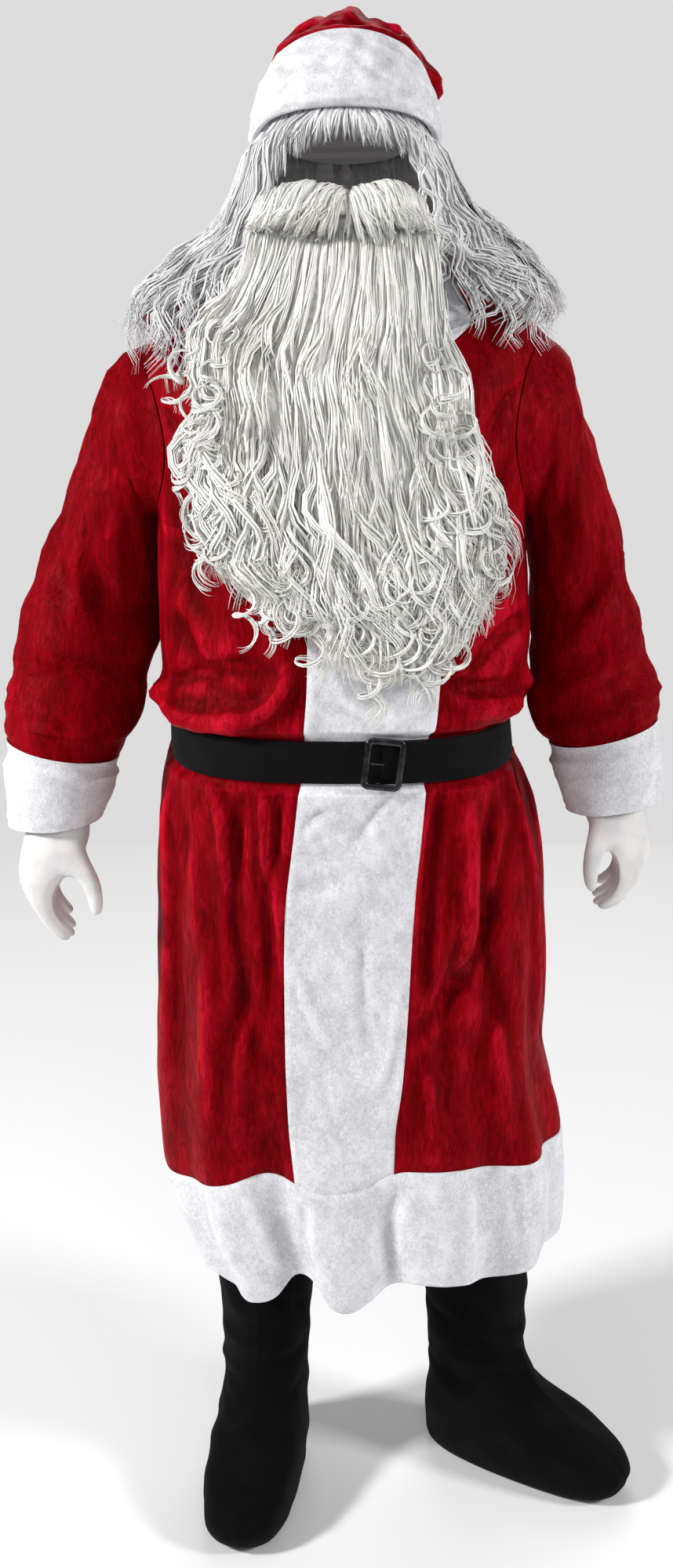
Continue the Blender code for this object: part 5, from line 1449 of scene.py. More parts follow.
NET_INSET = 0.010
NET_HEIGHT = 0.042
NET_DROP = 0.004
NET_DOME = 88.0
STRANDS = 6
LOCK_SIDES = 3
LOCK_FLAT = 0.40


def wig_surface(angle, height):
    """Outside of the hair; the rows under the hat follow the hat's tilt."""
    left, right, front, back = curve_at(WIG_RINGS, height)
    x, y = ring_point(left, right, front, back, angle)
    tilt = BAND_LOW_TILT * np.cos(np.radians(angle)) * ease((height - 1.60) / 0.10)
    return np.stack([x, y, height + tilt - SHOULDER_LINE], axis=-1)


def strand_shading():
    """Strands of one lock: streaks along it, and each lock a little lighter or darker."""
    tree, given, result = new_group(
        "strand_shading", {"Strands": 3.0, "Along": 22.0},
        {"Streaks": "NodeSocketFloat", "Lock": "NodeSocketFloat"},
    )
    strand = add_node(tree, "ShaderNodeAttribute", attribute_name="strand").outputs["Vector"]
    across, along, lock = add_node(tree, "ShaderNodeSeparateXYZ", {0: strand}).outputs
    across, along = times(tree, across, given["Strands"]), times(tree, along, given["Along"])
    spot = add_node(tree, "ShaderNodeCombineXYZ", {0: across, 1: along, 2: times(tree, lock, 37.0)})
    streaks = spots(tree, spot.outputs[0], 1.0, detail=3.0, roughness=0.7)
    feed(tree, result, {"Streaks": streaks, "Lock": lock})
    return tree


strand_group = strand_shading()


def hair(name, shade, tint, bright, roughness=0.34):
    """Synthetic hair: satin, streaked along its strands."""
    finish, tree, shader = new_finish(name)
    strands = add_node(
        tree, "ShaderNodeGroup", {"Strands": 3.0, "Along": 22.0}, node_tree=strand_group).outputs
    mixed = times(tree, strands["Streaks"], 0.70, times(tree, strands["Lock"], 0.30))
    feed(tree, shader, {
        "Base Color": ramp(tree, mixed, ((0.32, shade), (0.50, tint), (0.66, bright))),
        "Normal": raised(tree, strands["Streaks"], strength=0.55, distance=0.0010),
        "Roughness": roughness,
        "Specular IOR Level": 0.50,
        "Sheen Weight": 0.60,
        "Sheen Roughness": 0.45,
    })
    return finish


silver_hair = hair("silver_hair", (0.72, 0.72, 0.74), (0.87, 0.87, 0.88), (0.99, 0.99, 0.99))


def wefted_net(name, tint):
    """The net that hair is sewn on: stitched rows one above another and a fine mesh between them."""
    finish, tree, shader = new_finish(name)
    place = add_node(tree, "ShaderNodeTexCoord").outputs["Object"]
    rows = bands(tree, place, 26.0, "Z", distortion=1.2)
    height = times(tree, spots(tree, place, 420.0, detail=2.0), 0.4, rows)
    feed(tree, shader, {
        "Base Color": ramp(tree, rows, ((0.15, tuple(c * 0.80 for c in tint)), (0.75, tint))),
        "Normal": raised(tree, height, strength=0.4, distance=0.0015),
        "Roughness": 0.80,
    })
    return finish


silver_wefts = wefted_net("silver_wefted_net", (0.86, 0.86, 0.87))


def lock_mesh(name, node, finish, centres, outward, half_widths, shades):
    """Locks of hair as one piece: flattened tapering tubes along their centre lines."""
    count, steps = centres.shape[:2]
    along = unit(np.gradient(centres, axis=1))
    across = unit(np.cross(along, outward))
    out = np.cross(across, along)
    a = 2 * np.pi * np.arange(LOCK_SIDES) / LOCK_SIDES
    wide = half_widths[..., None, None]
    rings = (centres[:, :, None] + across[:, :, None] * np.cos(a)[:, None] * wide
             + out[:, :, None] * np.sin(a)[:, None] * wide * LOCK_FLAT)
    lengths = np.cumsum(np.linalg.norm(np.diff(centres, axis=1, prepend=centres[:, :1]), axis=-1), axis=1)
    strand = np.stack(np.broadcast_arrays(
        np.cos(a)[None, None], lengths[..., None], shades[:, None, None]), axis=-1).reshape(-1, 3)
    start = (np.arange(count) * steps * LOCK_SIDES)[:, None, None]
    i, k = np.meshgrid(np.arange(steps - 1), np.arange(LOCK_SIDES), indexing="ij")
    near, far = i * LOCK_SIDES, (i + 1) * LOCK_SIDES
    m = (k + 1) % LOCK_SIDES
    walls = np.stack([near + k, near + m, far + m, far + k], axis=-1)
    quads = (start[..., None] + walls[None]).reshape(-1, 4)
    root = start[:, 0, :] + np.arange(LOCK_SIDES)[::-1][None]
    tip = start[:, 0, :] + (steps - 1) * LOCK_SIDES + np.arange(LOCK_SIDES)[None]
    mesh = bpy.data.meshes.new(name)
    mesh.from_pydata(rings.reshape(-1, 3).tolist(), [], [*quads.tolist(), *root.tolist(), *tip.tolist()])
    mesh.shade_smooth()
    mesh.attributes.new("strand", "FLOAT_VECTOR", "POINT").data.foreach_set("vector", strand.ravel())
    piece = cut_piece(name, mesh, finish)
    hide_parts(node)
    return piece


def surface_normals(place, a, b, step_a, step_b):
    """Outward normals of a surface place(a, b) by small steps."""
    along_a = place(a + step_a, b) - place(a - step_a, b)
    along_b = place(a, b + step_b) - place(a, b - step_b)
    return unit(np.cross(along_a, along_b))


def wig_normals(angle, height):
    return surface_normals(wig_surface, angle, height, 0.5, 0.001)


def for_each(count, low, high):
    """A random number between low and high for each lock, as a column."""
    return rng.uniform(low, high, (count, 1))


def taper(t, root=0.15, tip=0.25):
    """Half width of a lock along its length, thin at its root and running out at its tip."""
    return np.clip(0.35 + t / root * 0.65, 0, 1) * np.clip((1 - t) / tip, 0.06, 1) ** 0.7


def waved(place, outward, t, phase, sway, waves, curl, curls, curl_from):
    """Centre lines swayed from side to side along their length and curled at their ends."""
    count = len(place)
    side = unit(np.cross(unit(np.gradient(place, axis=1)), outward))
    hand = rng.choice((-1.0, 1.0), (count, 1))
    aside = for_each(count, *sway) * (0.3 + t) * np.sin(2 * np.pi * waves * t + phase)
    size = for_each(count, *curl) * ease((t - curl_from) / 0.3)
    turn = 2 * np.pi * for_each(count, *curls) * np.maximum(t - curl_from, 0) / (1 - curl_from)
    aside = aside + size * np.sin(turn) * hand
    return place + side * aside[..., None] + outward * (size * (1 - np.cos(turn)) * 0.6)[..., None]


def clumped(centres, outward, half_widths, spread, stray=0.0):
    """Splits each lock into strands that lie side by side, meet along it and part again at its tip."""
    count, steps = centres.shape[:2]
    strands = count * STRANDS
    t = np.linspace(0, 1, steps)[None]
    side = np.repeat(unit(np.cross(unit(np.gradient(centres, axis=1)), outward)), STRANDS, axis=0)
    up = np.repeat(outward, STRANDS, axis=0)
    together = 1.0 - 0.55 * np.sin(np.pi * np.clip(t * 1.25, 0, 1)) + 0.5 * t**3
    aside = spread * rng.normal(0, 0.55, (strands, 1)) * together
    wander = np.sin(2 * np.pi * for_each(strands, 0.6, 1.8) * t + for_each(strands, 0, 6.3))
    aside = aside + wander * t * (0.0012 + stray * for_each(strands, 0, 1) ** 3)
    lift = for_each(strands, -0.0012, 0.0022) * (0.4 + 0.6 * t) + stray * 0.5 * t * wander**2
    centres = np.repeat(centres, STRANDS, axis=0) + side * aside[..., None] + up * lift[..., None]
    half_widths = np.repeat(half_widths, STRANDS, axis=0) * for_each(strands, 0.7, 1.3)
    shades = np.repeat(rng.uniform(0, 1, count), STRANDS) + rng.normal(0, 0.15, strands)
    return centres, up, half_widths, np.clip(shades, 0, 1)


rng = np.random.default_rng(HAIR_SEED)
t = np.linspace(0, 1, WIG_STEPS)[None]
spaced = rng.uniform(-1, 1, WIG_LOCKS)
spaced = 180.0 + (178.0 - WIG_OPENING_ANGLE) * np.sign(spaced) * np.abs(spaced) ** 0.8
root_angle = np.sort(spaced)[:, None]
ahead = np.cos(np.radians(root_angle))
layer = for_each(WIG_LOCKS, 0, 1)
wisp = WISP_DROP * ease((ahead - 0.15) / 0.4) * for_each(WIG_LOCKS, 0.1, 1) ** 0.6
shorter = layer**1.5 * WIG_LAYERS * for_each(WIG_LOCKS, 0.3, 1.0)
end = curve_at(WIG_EDGE, root_angle)[0] + shorter - 0.003 - wisp
height = mix(WIG_TOP, end, t)
inwards = np.where(root_angle > 180, 1.0, -1.0) * for_each(WIG_LOCKS, 0, WISP_TURN)
angle = root_angle + inwards * ease((ahead - 0.40) / 0.35) * t**1.5
lift = mix(-0.0030, 0.0025, layer) + 0 * t - 0.004 * ease((height - 1.685) / 0.015)
outward = wig_normals(angle, height)
place = wig_surface(angle, height) + outward * lift[..., None]
phase = root_angle / 7 + rng.normal(0, 0.4, (WIG_LOCKS, 1))
centres = waved(
    place, outward, t, phase, sway=(0.005, 0.010), waves=4.2,
    curl=(0.004, 0.012), curls=(0.8, 1.6), curl_from=0.60)
widths = taper(t) * for_each(WIG_LOCKS, 0.0011, 0.0020)
lock_mesh("wig_locks", "wig", silver_hair, *clumped(centres, outward, widths, spread=0.0060, stray=0.006))

around_head = np.linspace(WIG_OPENING_ANGLE + 1, 359 - WIG_OPENING_ANGLE, 121)
angle, share = np.meshgrid(around_head, np.linspace(0, 1, 31))
height = mix(curve_at(WIG_EDGE, angle)[0] + CAP_SHORTER, WIG_TOP, share)
points = wig_surface(angle, height) - wig_normals(angle, height) * CAP_UNDER
wig_cap = sheet_mesh("wig_cap", points, CAP_NET, silver_wefts, sink=0.0)

angle, share = np.meshgrid(full_turn(72), np.linspace(0, 1, 17))
height = np.full_like(angle, WIG_TOP - NET_DROP)
ring = wig_surface(angle, height) - wig_normals(angle, height) * NET_INSET
middle, dome = ring[0].mean(axis=0), share * math.radians(NET_DOME)
points = middle + (ring - middle) * np.cos(dome)[..., None]
points[..., 2] += NET_HEIGHT * np.sin(dome)
wig_net = sheet_mesh("wig_net_top", points, TOP_NET, silver_wefts, loop=True, sink=0.0)

t = np.linspace(0, 1, FRINGE_STEPS)[None]
root_angle = np.linspace(-FRINGE_REACH, FRINGE_REACH, FRINGE_LOCKS)[:, None]
root_angle = root_angle + for_each(FRINGE_LOCKS, -1, 1)
sweep = np.tanh((root_angle - 2) / 9) * for_each(FRINGE_LOCKS, -2, 16)
angle = np.clip(root_angle + sweep * t**1.4, -FRINGE_LIMIT, FRINGE_LIMIT)
end = FRINGE_LOW + for_each(FRINGE_LOCKS, -0.006, 0.006) - 0.030 * (np.abs(root_angle) / FRINGE_LIMIT) ** 3
height = mix(FRINGE_ROOT, end, t)
outward = wig_normals(angle, height)
lift = 0.006 * np.sin(np.pi * t) * ease(t / 0.6) - 0.004 * (1 - t) - for_each(FRINGE_LOCKS, 0, 0.003)
centres = wig_surface(angle, height) + outward * lift[..., None]
widths = taper(t, tip=0.35) * for_each(FRINGE_LOCKS, 0.0009, 0.0017)
lock_mesh("wig_fringe_locks", "wig_fringe", silver_hair, *clumped(centres, outward, widths, spread=0.0035))


# Beard: synthetic hair sewn on a cloth backing, straight and combed down from its top edge and worked
# into loose ringlets at its sides and lower edge.
BEARD_TOP = 1.630
BEARD_SIDES_TO = 1.262
BEARD_SIDES = (
    # height, left, right
    (1.262, -0.136, 0.188),
    (1.283, -0.142, 0.196),
    (1.320, -0.152, 0.184),
    (1.368, -0.164, 0.168),
    (1.400, -0.170, 0.158),
    (1.450, -0.158, 0.143),
    (1.485, -0.164, 0.135),
    (1.510, -0.160, 0.126),
    (1.545, -0.132, 0.119),
    (1.580, -0.110, 0.114),
    (1.630, -0.090, 0.104),
)
BEARD_EDGE = (
    # share of the width from the left, height of the lower edge
    (0.00, 1.262),
    (0.10, 1.222),
    (0.20, 1.198),
    (0.32, 1.176),
    (0.44, 1.140),
    (0.53, 1.121),
    (0.65, 1.126),
    (0.78, 1.142),
    (0.88, 1.178),
    (1.00, 1.252),
)
HANG_FRONT = (
    # height, how far forward the beard stands where it hangs free of the chest
    (1.10, 0.196),
    (1.30, 0.204),
    (1.42, 0.194),
    (1.50, 0.172),
    (1.58, 0.150),
    (1.63, 0.128),
)
HANG_MIDDLE = 0.012
HANG_ROUND = 3.6
BEARD_THICK = 0.012
BEARD_RIDGE = 0.005
CHEST_CLEAR = 0.0015
COLLAR_ROOM = 0.013
COLLAR_LOW = 1.39
BACKING = 0.0015
BACKING_UNDER = 0.0008
BACKING_POINTS = 51
COMBED_LOCKS = 205
TOP_LOCKS = 72
RINGLETS = 92
SIDE_RINGLETS = 52
RINGLET_STEPS = 27
RINGLET_SIZES = dict(drop=(0.020, 0.070), radius=(0.010, 0.022))


def beard_surface(across, up):
    """The beard's front without its ridges: shares of its width and of its height from the edge up."""
    height = mix(curve_at(BEARD_EDGE, across)[0], BEARD_TOP, up)
    left, right = curve_at(BEARD_SIDES, mix(BEARD_SIDES_TO, BEARD_TOP, up))
    x = mix(left, right, across)
    chest = np.minimum(height, NECK_FRONT)
    on_chest = -robe_surface(angle_at(x, chest), chest)[..., 1] + BEARD_THICK + CHEST_CLEAR
    on_chest = on_chest + COLLAR_ROOM * ease((height - COLLAR_LOW) / 0.05)
    forward = np.maximum(curve_at(HANG_FRONT, height)[0] - HANG_ROUND * (x - HANG_MIDDLE) ** 2, on_chest)
    return np.stack([x, -forward - BEARD_RIDGE, height - SHOULDER_LINE], axis=-1)


def beard_normals(across, up):
    return surface_normals(beard_surface, across, up, 0.01, 0.01)


ivory_hair = hair("ivory_hair", (0.82, 0.81, 0.75), (0.93, 0.92, 0.87), (1.0, 0.99, 0.96), 0.28)
ivory_wefts = wefted_net("ivory_wefted_net", (0.95, 0.94, 0.89))


def beard_locks(count, steps, roots, ends, spread, widths, lift, wave_size, waves, curl_size, curls):
    """Locks from a root row to an end row: a wave along all of it and a curl over its lower part."""
    t = np.linspace(0, 1, steps)[None]
    across_root = for_each(count, 0.01, 0.99)
    across_end = across_root + rng.normal(0, spread, (count, 1)) + (across_root - 0.5) * 0.04
    up = mix(for_each(count, *roots), for_each(count, *ends), t)
    across = mix(across_root, np.clip(across_end, 0.0, 1.0), ease(t))
    outward = beard_normals(across, up)
    place = beard_surface(across, up) + outward * (for_each(count, *lift) * ease(t / 0.15))[..., None]
    phase = across_root * 16 + rng.normal(0, 0.6, (count, 1))
    centres = waved(place, outward, t, phase, wave_size, waves, curl_size, curls, curl_from=0.45)
    half_widths = taper(t, tip=0.18) * for_each(count, *widths)
    return clumped(centres, outward, half_widths, spread=0.0055, stray=0.004)


across, up = np.meshgrid(np.linspace(0.015, 0.985, BACKING_POINTS), np.linspace(0.03, 1, BACKING_POINTS))
points = beard_surface(across, up) - beard_normals(across, up) * BACKING_UNDER
backing = sheet_mesh("beard_backing", points, BACKING, ivory_wefts, sink=0.0)
combed = beard_locks(
    COMBED_LOCKS, 21, roots=(0.62, 1.0), ends=(0.0, 0.16), spread=0.022, widths=(0.0010, 0.0018),
    lift=(-0.001, 0.003), wave_size=(0.002, 0.008), waves=3.2, curl_size=(0.004, 0.014), curls=(1.0, 2.0))
cheeks = beard_locks(
    TOP_LOCKS, 15, roots=(0.96, 1.0), ends=(0.30, 0.66), spread=0.030, widths=(0.0009, 0.0016),
    lift=(0.000, 0.003), wave_size=(0.001, 0.005), waves=2.0, curl_size=(0.002, 0.008), curls=(0.8, 1.4))
lock_mesh("beard_combed_locks_1", "beard", ivory_hair, *combed)
lock_mesh("beard_combed_locks_2", "beard", ivory_hair, *cheeks)


def ringlets(steps, across, up, drop, radius, turns, width):
    """Bundles of strands wound together into open rings that stand off the beard's edge."""
    count, t = len(across), np.linspace(0, 1, steps)[None]
    root, outward = beard_surface(across, up), beard_normals(across, up)
    lean = rng.normal(0, 0.30, (count, 1, 1)) * np.array((1.0, 0, 0)) + np.array((0, 0, -1.0))
    lean = unit(lean - outward * np.sum(lean * outward, axis=-1, keepdims=True))
    side = unit(np.cross(lean, outward)) * rng.choice((-1.0, 1.0), (count, 1, 1))
    size = for_each(count, *radius) * ease(t / 0.30) * mix(1.0, 0.72, t)
    turn = 2 * np.pi * for_each(count, *turns) * t + for_each(count, 0, 6.3)
    fall = lean * (for_each(count, *drop) * t + size * 0.7 * np.sin(turn))[..., None]
    stand = size * (1 + np.sin(turn + 0.8)) * 0.30 + 0.004
    centres = root + fall + side * (size * np.cos(turn))[..., None] + outward * stand[..., None]
    facing = outward + side * (np.cos(turn) * 0.6)[..., None]
    half_widths = taper(t, tip=0.3) * for_each(count, *width)
    return clumped(centres, unit(facing), half_widths, spread=0.0032, stray=0.004)


across = for_each(RINGLETS, 0.02, 0.98)
up = for_each(RINGLETS, 0.08, 0.50) * (0.45 + np.abs(across - 0.5))
low_curls = ringlets(RINGLET_STEPS, across, up, turns=(1.1, 2.1), width=(0.0008, 0.0014), **RINGLET_SIZES)
edge_side = rng.choice((0.0, 1.0), (SIDE_RINGLETS, 1))
across = np.abs(edge_side - for_each(SIDE_RINGLETS, 0.02, 0.12))
up = for_each(SIDE_RINGLETS, 0.15, 0.74)
side_curls = ringlets(RINGLET_STEPS, across, up, turns=(1.0, 2.0), width=(0.0007, 0.0013), **RINGLET_SIZES)
curls = [np.concatenate(pair) for pair in zip(low_curls, side_curls)]
lock_mesh("beard_ringlets", "beard", ivory_hair, *curls)


# Moustache: one roll of the same hair, parted in the middle and brushed out to both sides.
MOUSTACHE_PATH = (
    # share from left to right, x, z, thickness, height
    (0.00, -0.092, 1.624, 0.010, 0.010),
    (0.15, -0.074, 1.640, 0.020, 0.024),
    (0.32, -0.034, 1.648, 0.026, 0.034),
    (0.46, 0.004, 1.645, 0.020, 0.028),
    (0.50, 0.0125, 1.643, 0.016, 0.022),
    (0.54, 0.021, 1.645, 0.020, 0.028),
    (0.68, 0.058, 1.648, 0.026, 0.034),
    (0.85, 0.086, 1.640, 0.020, 0.024),
    (1.00, 0.100, 1.624, 0.010, 0.010),
)
MOUSTACHE_CLEAR = 0.0005
MOUSTACHE_LOCKS = 145
MOUSTACHE_STEPS = 12
MOUSTACHE_DROP = 0.022
MOUSTACHE_CORE = 0.86


def moustache_surface(share, turn, size=1.0):
    """A point of the roll: share from left to right, turn in degrees from its front upwards."""
    x, z, thick, tall = curve_at(MOUSTACHE_PATH, share)
    left, right = BEARD_SIDES[-1][1:]
    behind = beard_surface((x - left) / (right - left), np.ones_like(x))[..., 1]
    a = np.radians(turn)
    y = behind - thick / 2 - MOUSTACHE_CLEAR - size * thick / 2 * np.cos(a)
    return np.stack([x + 0 * a, y, z - SHOULDER_LINE + size * tall / 2 * np.sin(a)], axis=-1)


turn, share = np.meshgrid(full_turn(24), np.linspace(0.0, 1.0, 41))
points = moustache_surface(share, turn, MOUSTACHE_CORE)
moustache_core = sheet_mesh("moustache_core", points, BACKING, ivory_wefts, loop=True, sink=0.0)
t = np.linspace(0, 1, MOUSTACHE_STEPS)[None]
side = rng.choice((-1.0, 1.0), (MOUSTACHE_LOCKS, 1))
start = for_each(MOUSTACHE_LOCKS, -0.04, 0.42)
share = 0.5 + side * np.minimum(start + for_each(MOUSTACHE_LOCKS, 0.04, 0.20) * t, 0.5)
turn_from, turn_to = for_each(MOUSTACHE_LOCKS, 70, 120), for_each(MOUSTACHE_LOCKS, -30, 0)
turn = mix(turn_from, turn_to, np.clip(t / 0.55, 0, 1))
roll_size = MOUSTACHE_CORE + for_each(MOUSTACHE_LOCKS, 0.10, 0.30)
centres = moustache_surface(share, turn, roll_size)
thick, tall = curve_at(MOUSTACHE_PATH, share)[2:]
below = ease((t - 0.4) / 0.6) * for_each(MOUSTACHE_LOCKS, 0.25, 1.35)
centres[..., 2] -= below * (tall * 0.3 + MOUSTACHE_DROP * (1.25 - 2.2 * np.abs(share - 0.5)))
centres[..., 1] += np.minimum(below, 1.0) ** 2 * thick * 0.62
outward = unit(centres - moustache_surface(share, turn, 0.0))
widths = taper(t, tip=0.3) * for_each(MOUSTACHE_LOCKS, 0.0009, 0.0016)
lock_mesh("moustache_locks", "moustache", ivory_hair, *clumped(centres, outward, widths, spread=0.0040))


# Boot covers: soft black cloth sewn from two sides with a seam up the front, a round flat foot and
# a leg that reaches up under the skirt. They wrinkle at the ankle.
BOOT_SECTIONS = (
    # height, heel behind the leg's middle, toe in front of it, half width
    (0.000, 0.050, 0.205, 0.046),
    (0.012, 0.060, 0.226, 0.056),
    (0.035, 0.064, 0.232, 0.060),
    (0.062, 0.064, 0.212, 0.061),
    (0.088, 0.063, 0.164, 0.059),
    (0.112, 0.062, 0.118, 0.057),
    (0.140, 0.061, 0.086, 0.056),
    (0.190, 0.063, 0.072, 0.058),
    (0.270, 0.070, 0.074, 0.063),
    (0.360, 0.077, 0.078, 0.067),
    (0.460, 0.080, 0.080, 0.070),
)
BOOTS = (
    # name, leg's middle x and y, turn of the toe towards the right in degrees
    ("boot_right", -0.094, -0.010, -8.0),
    ("boot_left", 0.186, 0.000, 58.0),
)
TOE_SPREAD = 0.12
TOE_BLUNT = 0.20
BOOT_FINE = 100
SOLE_RINGS = 6
SOLE_MIDDLE = 0.03
FOOT_EDGE = 0.03
BOOT_SEAM = 0.0012
BOOT_SEAM_HALF = 0.0016
BOOT_CREASES = (
    # from angle, height, to angle, height, bow, half width, depth
    (-70, 0.135, -10, 0.120, 0.06, 0.006, -0.003),
    (10, 0.126, 80, 0.142, 0.05, 0.006, -0.003),
    (-90, 0.165, 20, 0.150, -0.05, 0.007, 0.003),
    (-20, 0.178, 90, 0.190, 0.05, 0.007, -0.003),
    (-60, 0.215, 40, 0.205, 0.06, 0.008, 0.003),
    (110, 0.120, 170, 0.110, 0.05, 0.006, -0.003),
    (-170, 0.150, -110, 0.140, 0.05, 0.006, -0.003),
    (120, 0.190, 175, 0.175, 0.05, 0.008, 0.003),
    (-150, 0.235, -80, 0.225, 0.05, 0.008, -0.003),
    (20, 0.280, 70, 0.250, 0.05, 0.010, -0.003),
    (-50, 0.330, -20, 0.240, 0.05, 0.010, 0.003),
    (150, 0.340, 165, 0.230, 0.05, 0.010, -0.003),
)
BOOT_RADIUS = 0.062


def boot_surface(place, angle, height):
    """A boot cover's outside: angle in degrees from the toe round to the right."""
    heel, toe, half_width = curve_at(BOOT_SECTIONS, height)
    s, c = np.sin(np.radians(angle)), np.cos(np.radians(angle))
    widest = (heel - toe) / 2 * 0.6
    in_foot = ease((toe - 0.10) / 0.10)
    spread = (1 + TOE_SPREAD * c * in_foot) * (1 + TOE_BLUNT * c * c * in_foot)
    along = np.where(c > 0, toe + widest, heel - widest) * c * (1 + TOE_BLUNT * s * s * in_foot)
    points = np.stack([half_width * s * spread, widest - along, height - SHOULDER_LINE], axis=-1)
    return points @ np.array(place.to_3x3()).T + np.array(place.translation)


boot_cloth = woven_black("black_boot_cloth", 0.0013, (0.0018, 0.0018, 0.0021), 0.90)
for boot_name, x, y, toe_turn in BOOTS:
    place = Matrix.Translation((x, y, 0)) @ Matrix.Rotation(math.radians(toe_turn), 4, "Z")
    foot_edge, leg = np.linspace(0, FOOT_EDGE, 9)[1:], np.linspace(FOOT_EDGE, BOOT_SECTIONS[-1][0], 78)[1:]
    heights = np.concatenate([np.zeros(SOLE_RINGS), foot_edge, leg])
    sole = np.linspace(SOLE_MIDDLE, 1, SOLE_RINGS + 1)[:-1]
    shrunk = np.concatenate([sole, np.ones(len(heights) - SOLE_RINGS)])
    angle, height = np.meshgrid(full_turn(BOOT_FINE), heights)
    points = boot_surface(place, angle, height)
    middle = points[SOLE_RINGS].mean(axis=0)
    points = middle + (points - middle) * np.where(height[..., None] > 0, 1.0, shrunk[:, None, None])
    points[..., 2] = height - SHOULDER_LINE
    turned = angle_apart(angle, 0.0)
    relief = relief_around(BOOT_CREASES, turned, height, math.radians(1) * BOOT_RADIUS)
    relief += ripples(points, (0.05, 0.05, 0.05), depth=0.0016, seed=91) * ease(height / 0.03)
    relief += BOOT_SEAM * ridge(np.radians(turned) * BOOT_RADIUS, BOOT_SEAM_HALF) * ease(height / 0.02)
    relief *= ease(height / 0.004)
    boot = sheet_mesh(
        f"{boot_name}_cloth", points, CLOTH, boot_cloth, loop=True, relief=relief, sink=0.0)
    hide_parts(boot_name)


# Gloves: thin white cotton jersey, cut in two and sewn round the fingers, the thumb set in. The raised seams
# along the fingers are left out.
GLOVE_CLOTH = 0.0012
GLOVE_ROUNDING = 2
FINGERS = 4
FINGER_GAP = 0.0008
FINGER_SHARES = (0.94, 1.00, 0.96, 0.80)
FINGER_JOINTS = (
    # length, half thickness, share of the finger's width
    (0.035, 0.0095, 1.00),
    (0.027, 0.0085, 0.94),
    (0.020, 0.0060, 0.70),
)
GLOVE_RIGHT = (
    # height, outer x, inner x, front y, back y, rounding of the two flat sides
    (0.972, 0.366, 0.300, -0.1080, -0.0540, 0.020),
    (0.940, 0.370, 0.296, -0.1100, -0.0520, 0.018),
    (0.908, 0.380, 0.296, -0.1220, -0.0480, 0.012),
    (0.880, 0.386, 0.316, -0.1290, -0.0420, 0.009),
    (0.860, 0.382, 0.336, -0.1310, -0.0410, 0.006),
)
GLOVE_LEFT = (
    (1.004, 0.362, 0.298, -0.1042, -0.0502, 0.020),
    (0.970, 0.366, 0.296, -0.1062, -0.0482, 0.018),
    (0.938, 0.376, 0.296, -0.1182, -0.0442, 0.012),
    (0.912, 0.380, 0.318, -0.1252, -0.0382, 0.009),
    (0.893, 0.376, 0.334, -0.1272, -0.0372, 0.006),
)
THUMB_RIGHT = (
    # x, y, height, half width
    (0.294, -0.1200, 0.874, 0.0115),
    (0.288, -0.1240, 0.850, 0.0100),
    (0.286, -0.1260, 0.828, 0.0065),
)
THUMB_LEFT = (
    (0.305, -0.1182, 0.904, 0.0115),
    (0.302, -0.1222, 0.880, 0.0100),
    (0.304, -0.1252, 0.858, 0.0065),
)
THUMB_ROW = 2
THUMB_TILT = 0.3


def cotton_jersey(name):
    """Fine knitted cotton, faintly wrinkled."""
    finish, tree, shader = new_finish(name)
    place = add_node(tree, "ShaderNodeTexCoord").outputs["Object"]
    knit = bands(tree, place, 380.0, "DIAGONAL", distortion=2.0, detail=1.0)
    wrinkles = spots(tree, place, 90.0, detail=3.0, distortion=1.0)
    worn = spots(tree, place, 28.0, detail=4.0)
    feed(tree, shader, {
        "Base Color": ramp(tree, worn, ((0.35, (0.66, 0.65, 0.65)), (0.60, (0.80, 0.79, 0.78)))),
        "Normal": raised(tree, times(tree, knit, 0.15, wrinkles), strength=0.35, distance=0.0015),
        "Roughness": 0.88,
        "Sheen Weight": 0.15,
    })
    return finish


white_jersey = cotton_jersey("white_cotton_jersey")


def tube(shape, base, rings):
    """Joins a four-sided base to rings of four and closes the last one."""
    for near, far in zip([base] + rings, rings):
        for k in range(4):
            m = (k + 1) % 4
            shape.faces.new((near[k], near[m], far[m], far[k]))
    shape.faces.new(rings[-1])


def finger(shape, side, base, share, bends):
    """A tube of three joints from its four points at the knuckle, each bent towards the palm."""
    centre = sum((v.co for v in base), Vector()) / 4
    half_wide = abs(base[0].co.y - base[1].co.y) / 2 - FINGER_GAP
    rings = []
    for (length, half_thick, wide_share), degrees in zip(FINGER_JOINTS, bends):
        bend = math.radians(degrees)
        centre = centre + Vector((-side * math.sin(bend), 0, -math.cos(bend))) * length * share
        out = Vector((side * math.cos(bend), 0, -math.sin(bend))) * half_thick
        wide = Vector((0, half_wide * wide_share, 0))
        corners = (out - wide, out + wide, wide - out, -wide - out)
        rings.append([shape.verts.new(centre + corner) for corner in corners])
    tube(shape, base, rings)


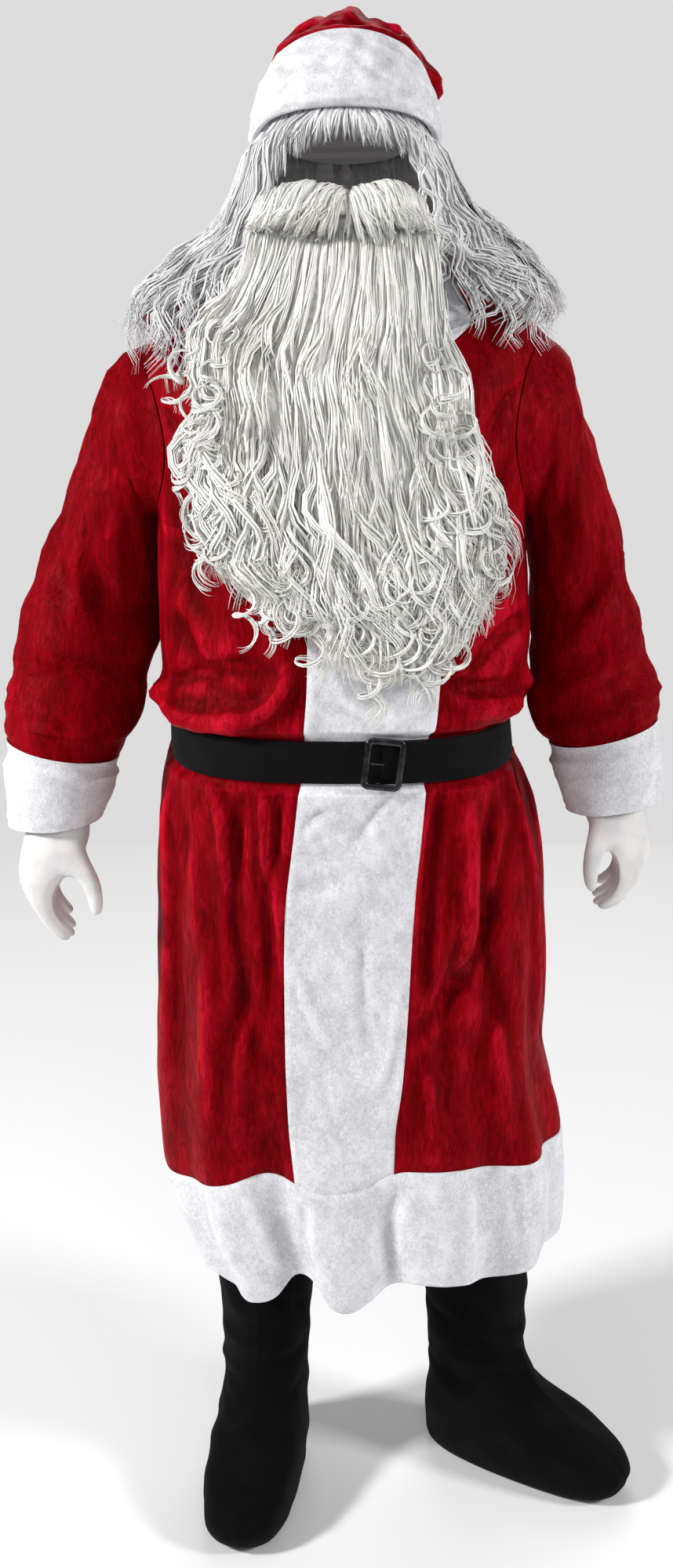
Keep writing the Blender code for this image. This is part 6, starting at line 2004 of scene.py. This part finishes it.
def thumb(shape, side, base, joints):
    """A tube from the palm's edge through the thumb's joints, each turned to lie beside the fingers."""
    rings = []
    for x, y, height, half in joints:
        low, high = (side, -THUMB_TILT), (-side, THUMB_TILT)
        corners = [(a, b, c) for (a, c), b in ((high, -1), (high, 1), (low, 1), (low, -1))]
        spot = Vector((side * x, y, height - SHOULDER_LINE))
        rings.append([shape.verts.new(spot + Vector(q) * half) for q in corners])
    tube(shape, base, rings)


def glove(name, node, side, palm, thumb_joints, bends):
    """A coarse cage of the glove, rounded by subdivision and given its cloth's thickness inward."""
    shape = bmesh.new()
    rows = []
    for height, outer, inner, front, back, rounding in palm:
        dorsal, palmar = [], []
        for w in range(FINGERS + 1):
            flatter = rounding * (2 * w / FINGERS - 1) ** 2
            y, z = mix(front, back, w / FINGERS), height - SHOULDER_LINE
            dorsal.append(shape.verts.new((side * (outer - flatter), y, z)))
            palmar.append(shape.verts.new((side * (inner + flatter), y, z)))
        rows.append((dorsal, palmar))
    for k in range(len(rows) - 1):
        (dorsal, palmar), (dorsal_below, palmar_below) = rows[k], rows[k + 1]
        for w in range(FINGERS):
            shape.faces.new((dorsal[w], dorsal[w + 1], dorsal_below[w + 1], dorsal_below[w]))
            cell = [palmar[w], palmar[w + 1], palmar_below[w + 1], palmar_below[w]]
            if k == THUMB_ROW and w == 0:
                thumb(shape, side, cell, thumb_joints)
            else:
                shape.faces.new(cell)
        for w in (0, FINGERS):
            shape.faces.new((dorsal[w], dorsal_below[w], palmar_below[w], palmar[w]))
    dorsal, palmar = rows[-1]
    for w in range(FINGERS):
        finger(shape, side, [dorsal[w], dorsal[w + 1], palmar[w + 1], palmar[w]], FINGER_SHARES[w], bends)
    bmesh.ops.recalc_face_normals(shape, faces=shape.faces)
    mesh = bpy.data.meshes.new(name)
    shape.to_mesh(mesh)
    shape.free()
    mesh.shade_smooth()
    piece = cut_piece(name, mesh, white_jersey)
    rounded = piece.modifiers.new("rounded", "SUBSURF")
    rounded.levels = rounded.render_levels = GLOVE_ROUNDING
    cloth = piece.modifiers.new("cloth", "SOLIDIFY")
    cloth.thickness = GLOVE_CLOTH
    cloth.offset = -1
    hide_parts(node)


glove("glove_right_jersey", "glove_right", -1, GLOVE_RIGHT, THUMB_RIGHT, (15, 35, 52))
glove("glove_left_jersey", "glove_left", 1, GLOVE_LEFT, THUMB_LEFT, (12, 42, 74))
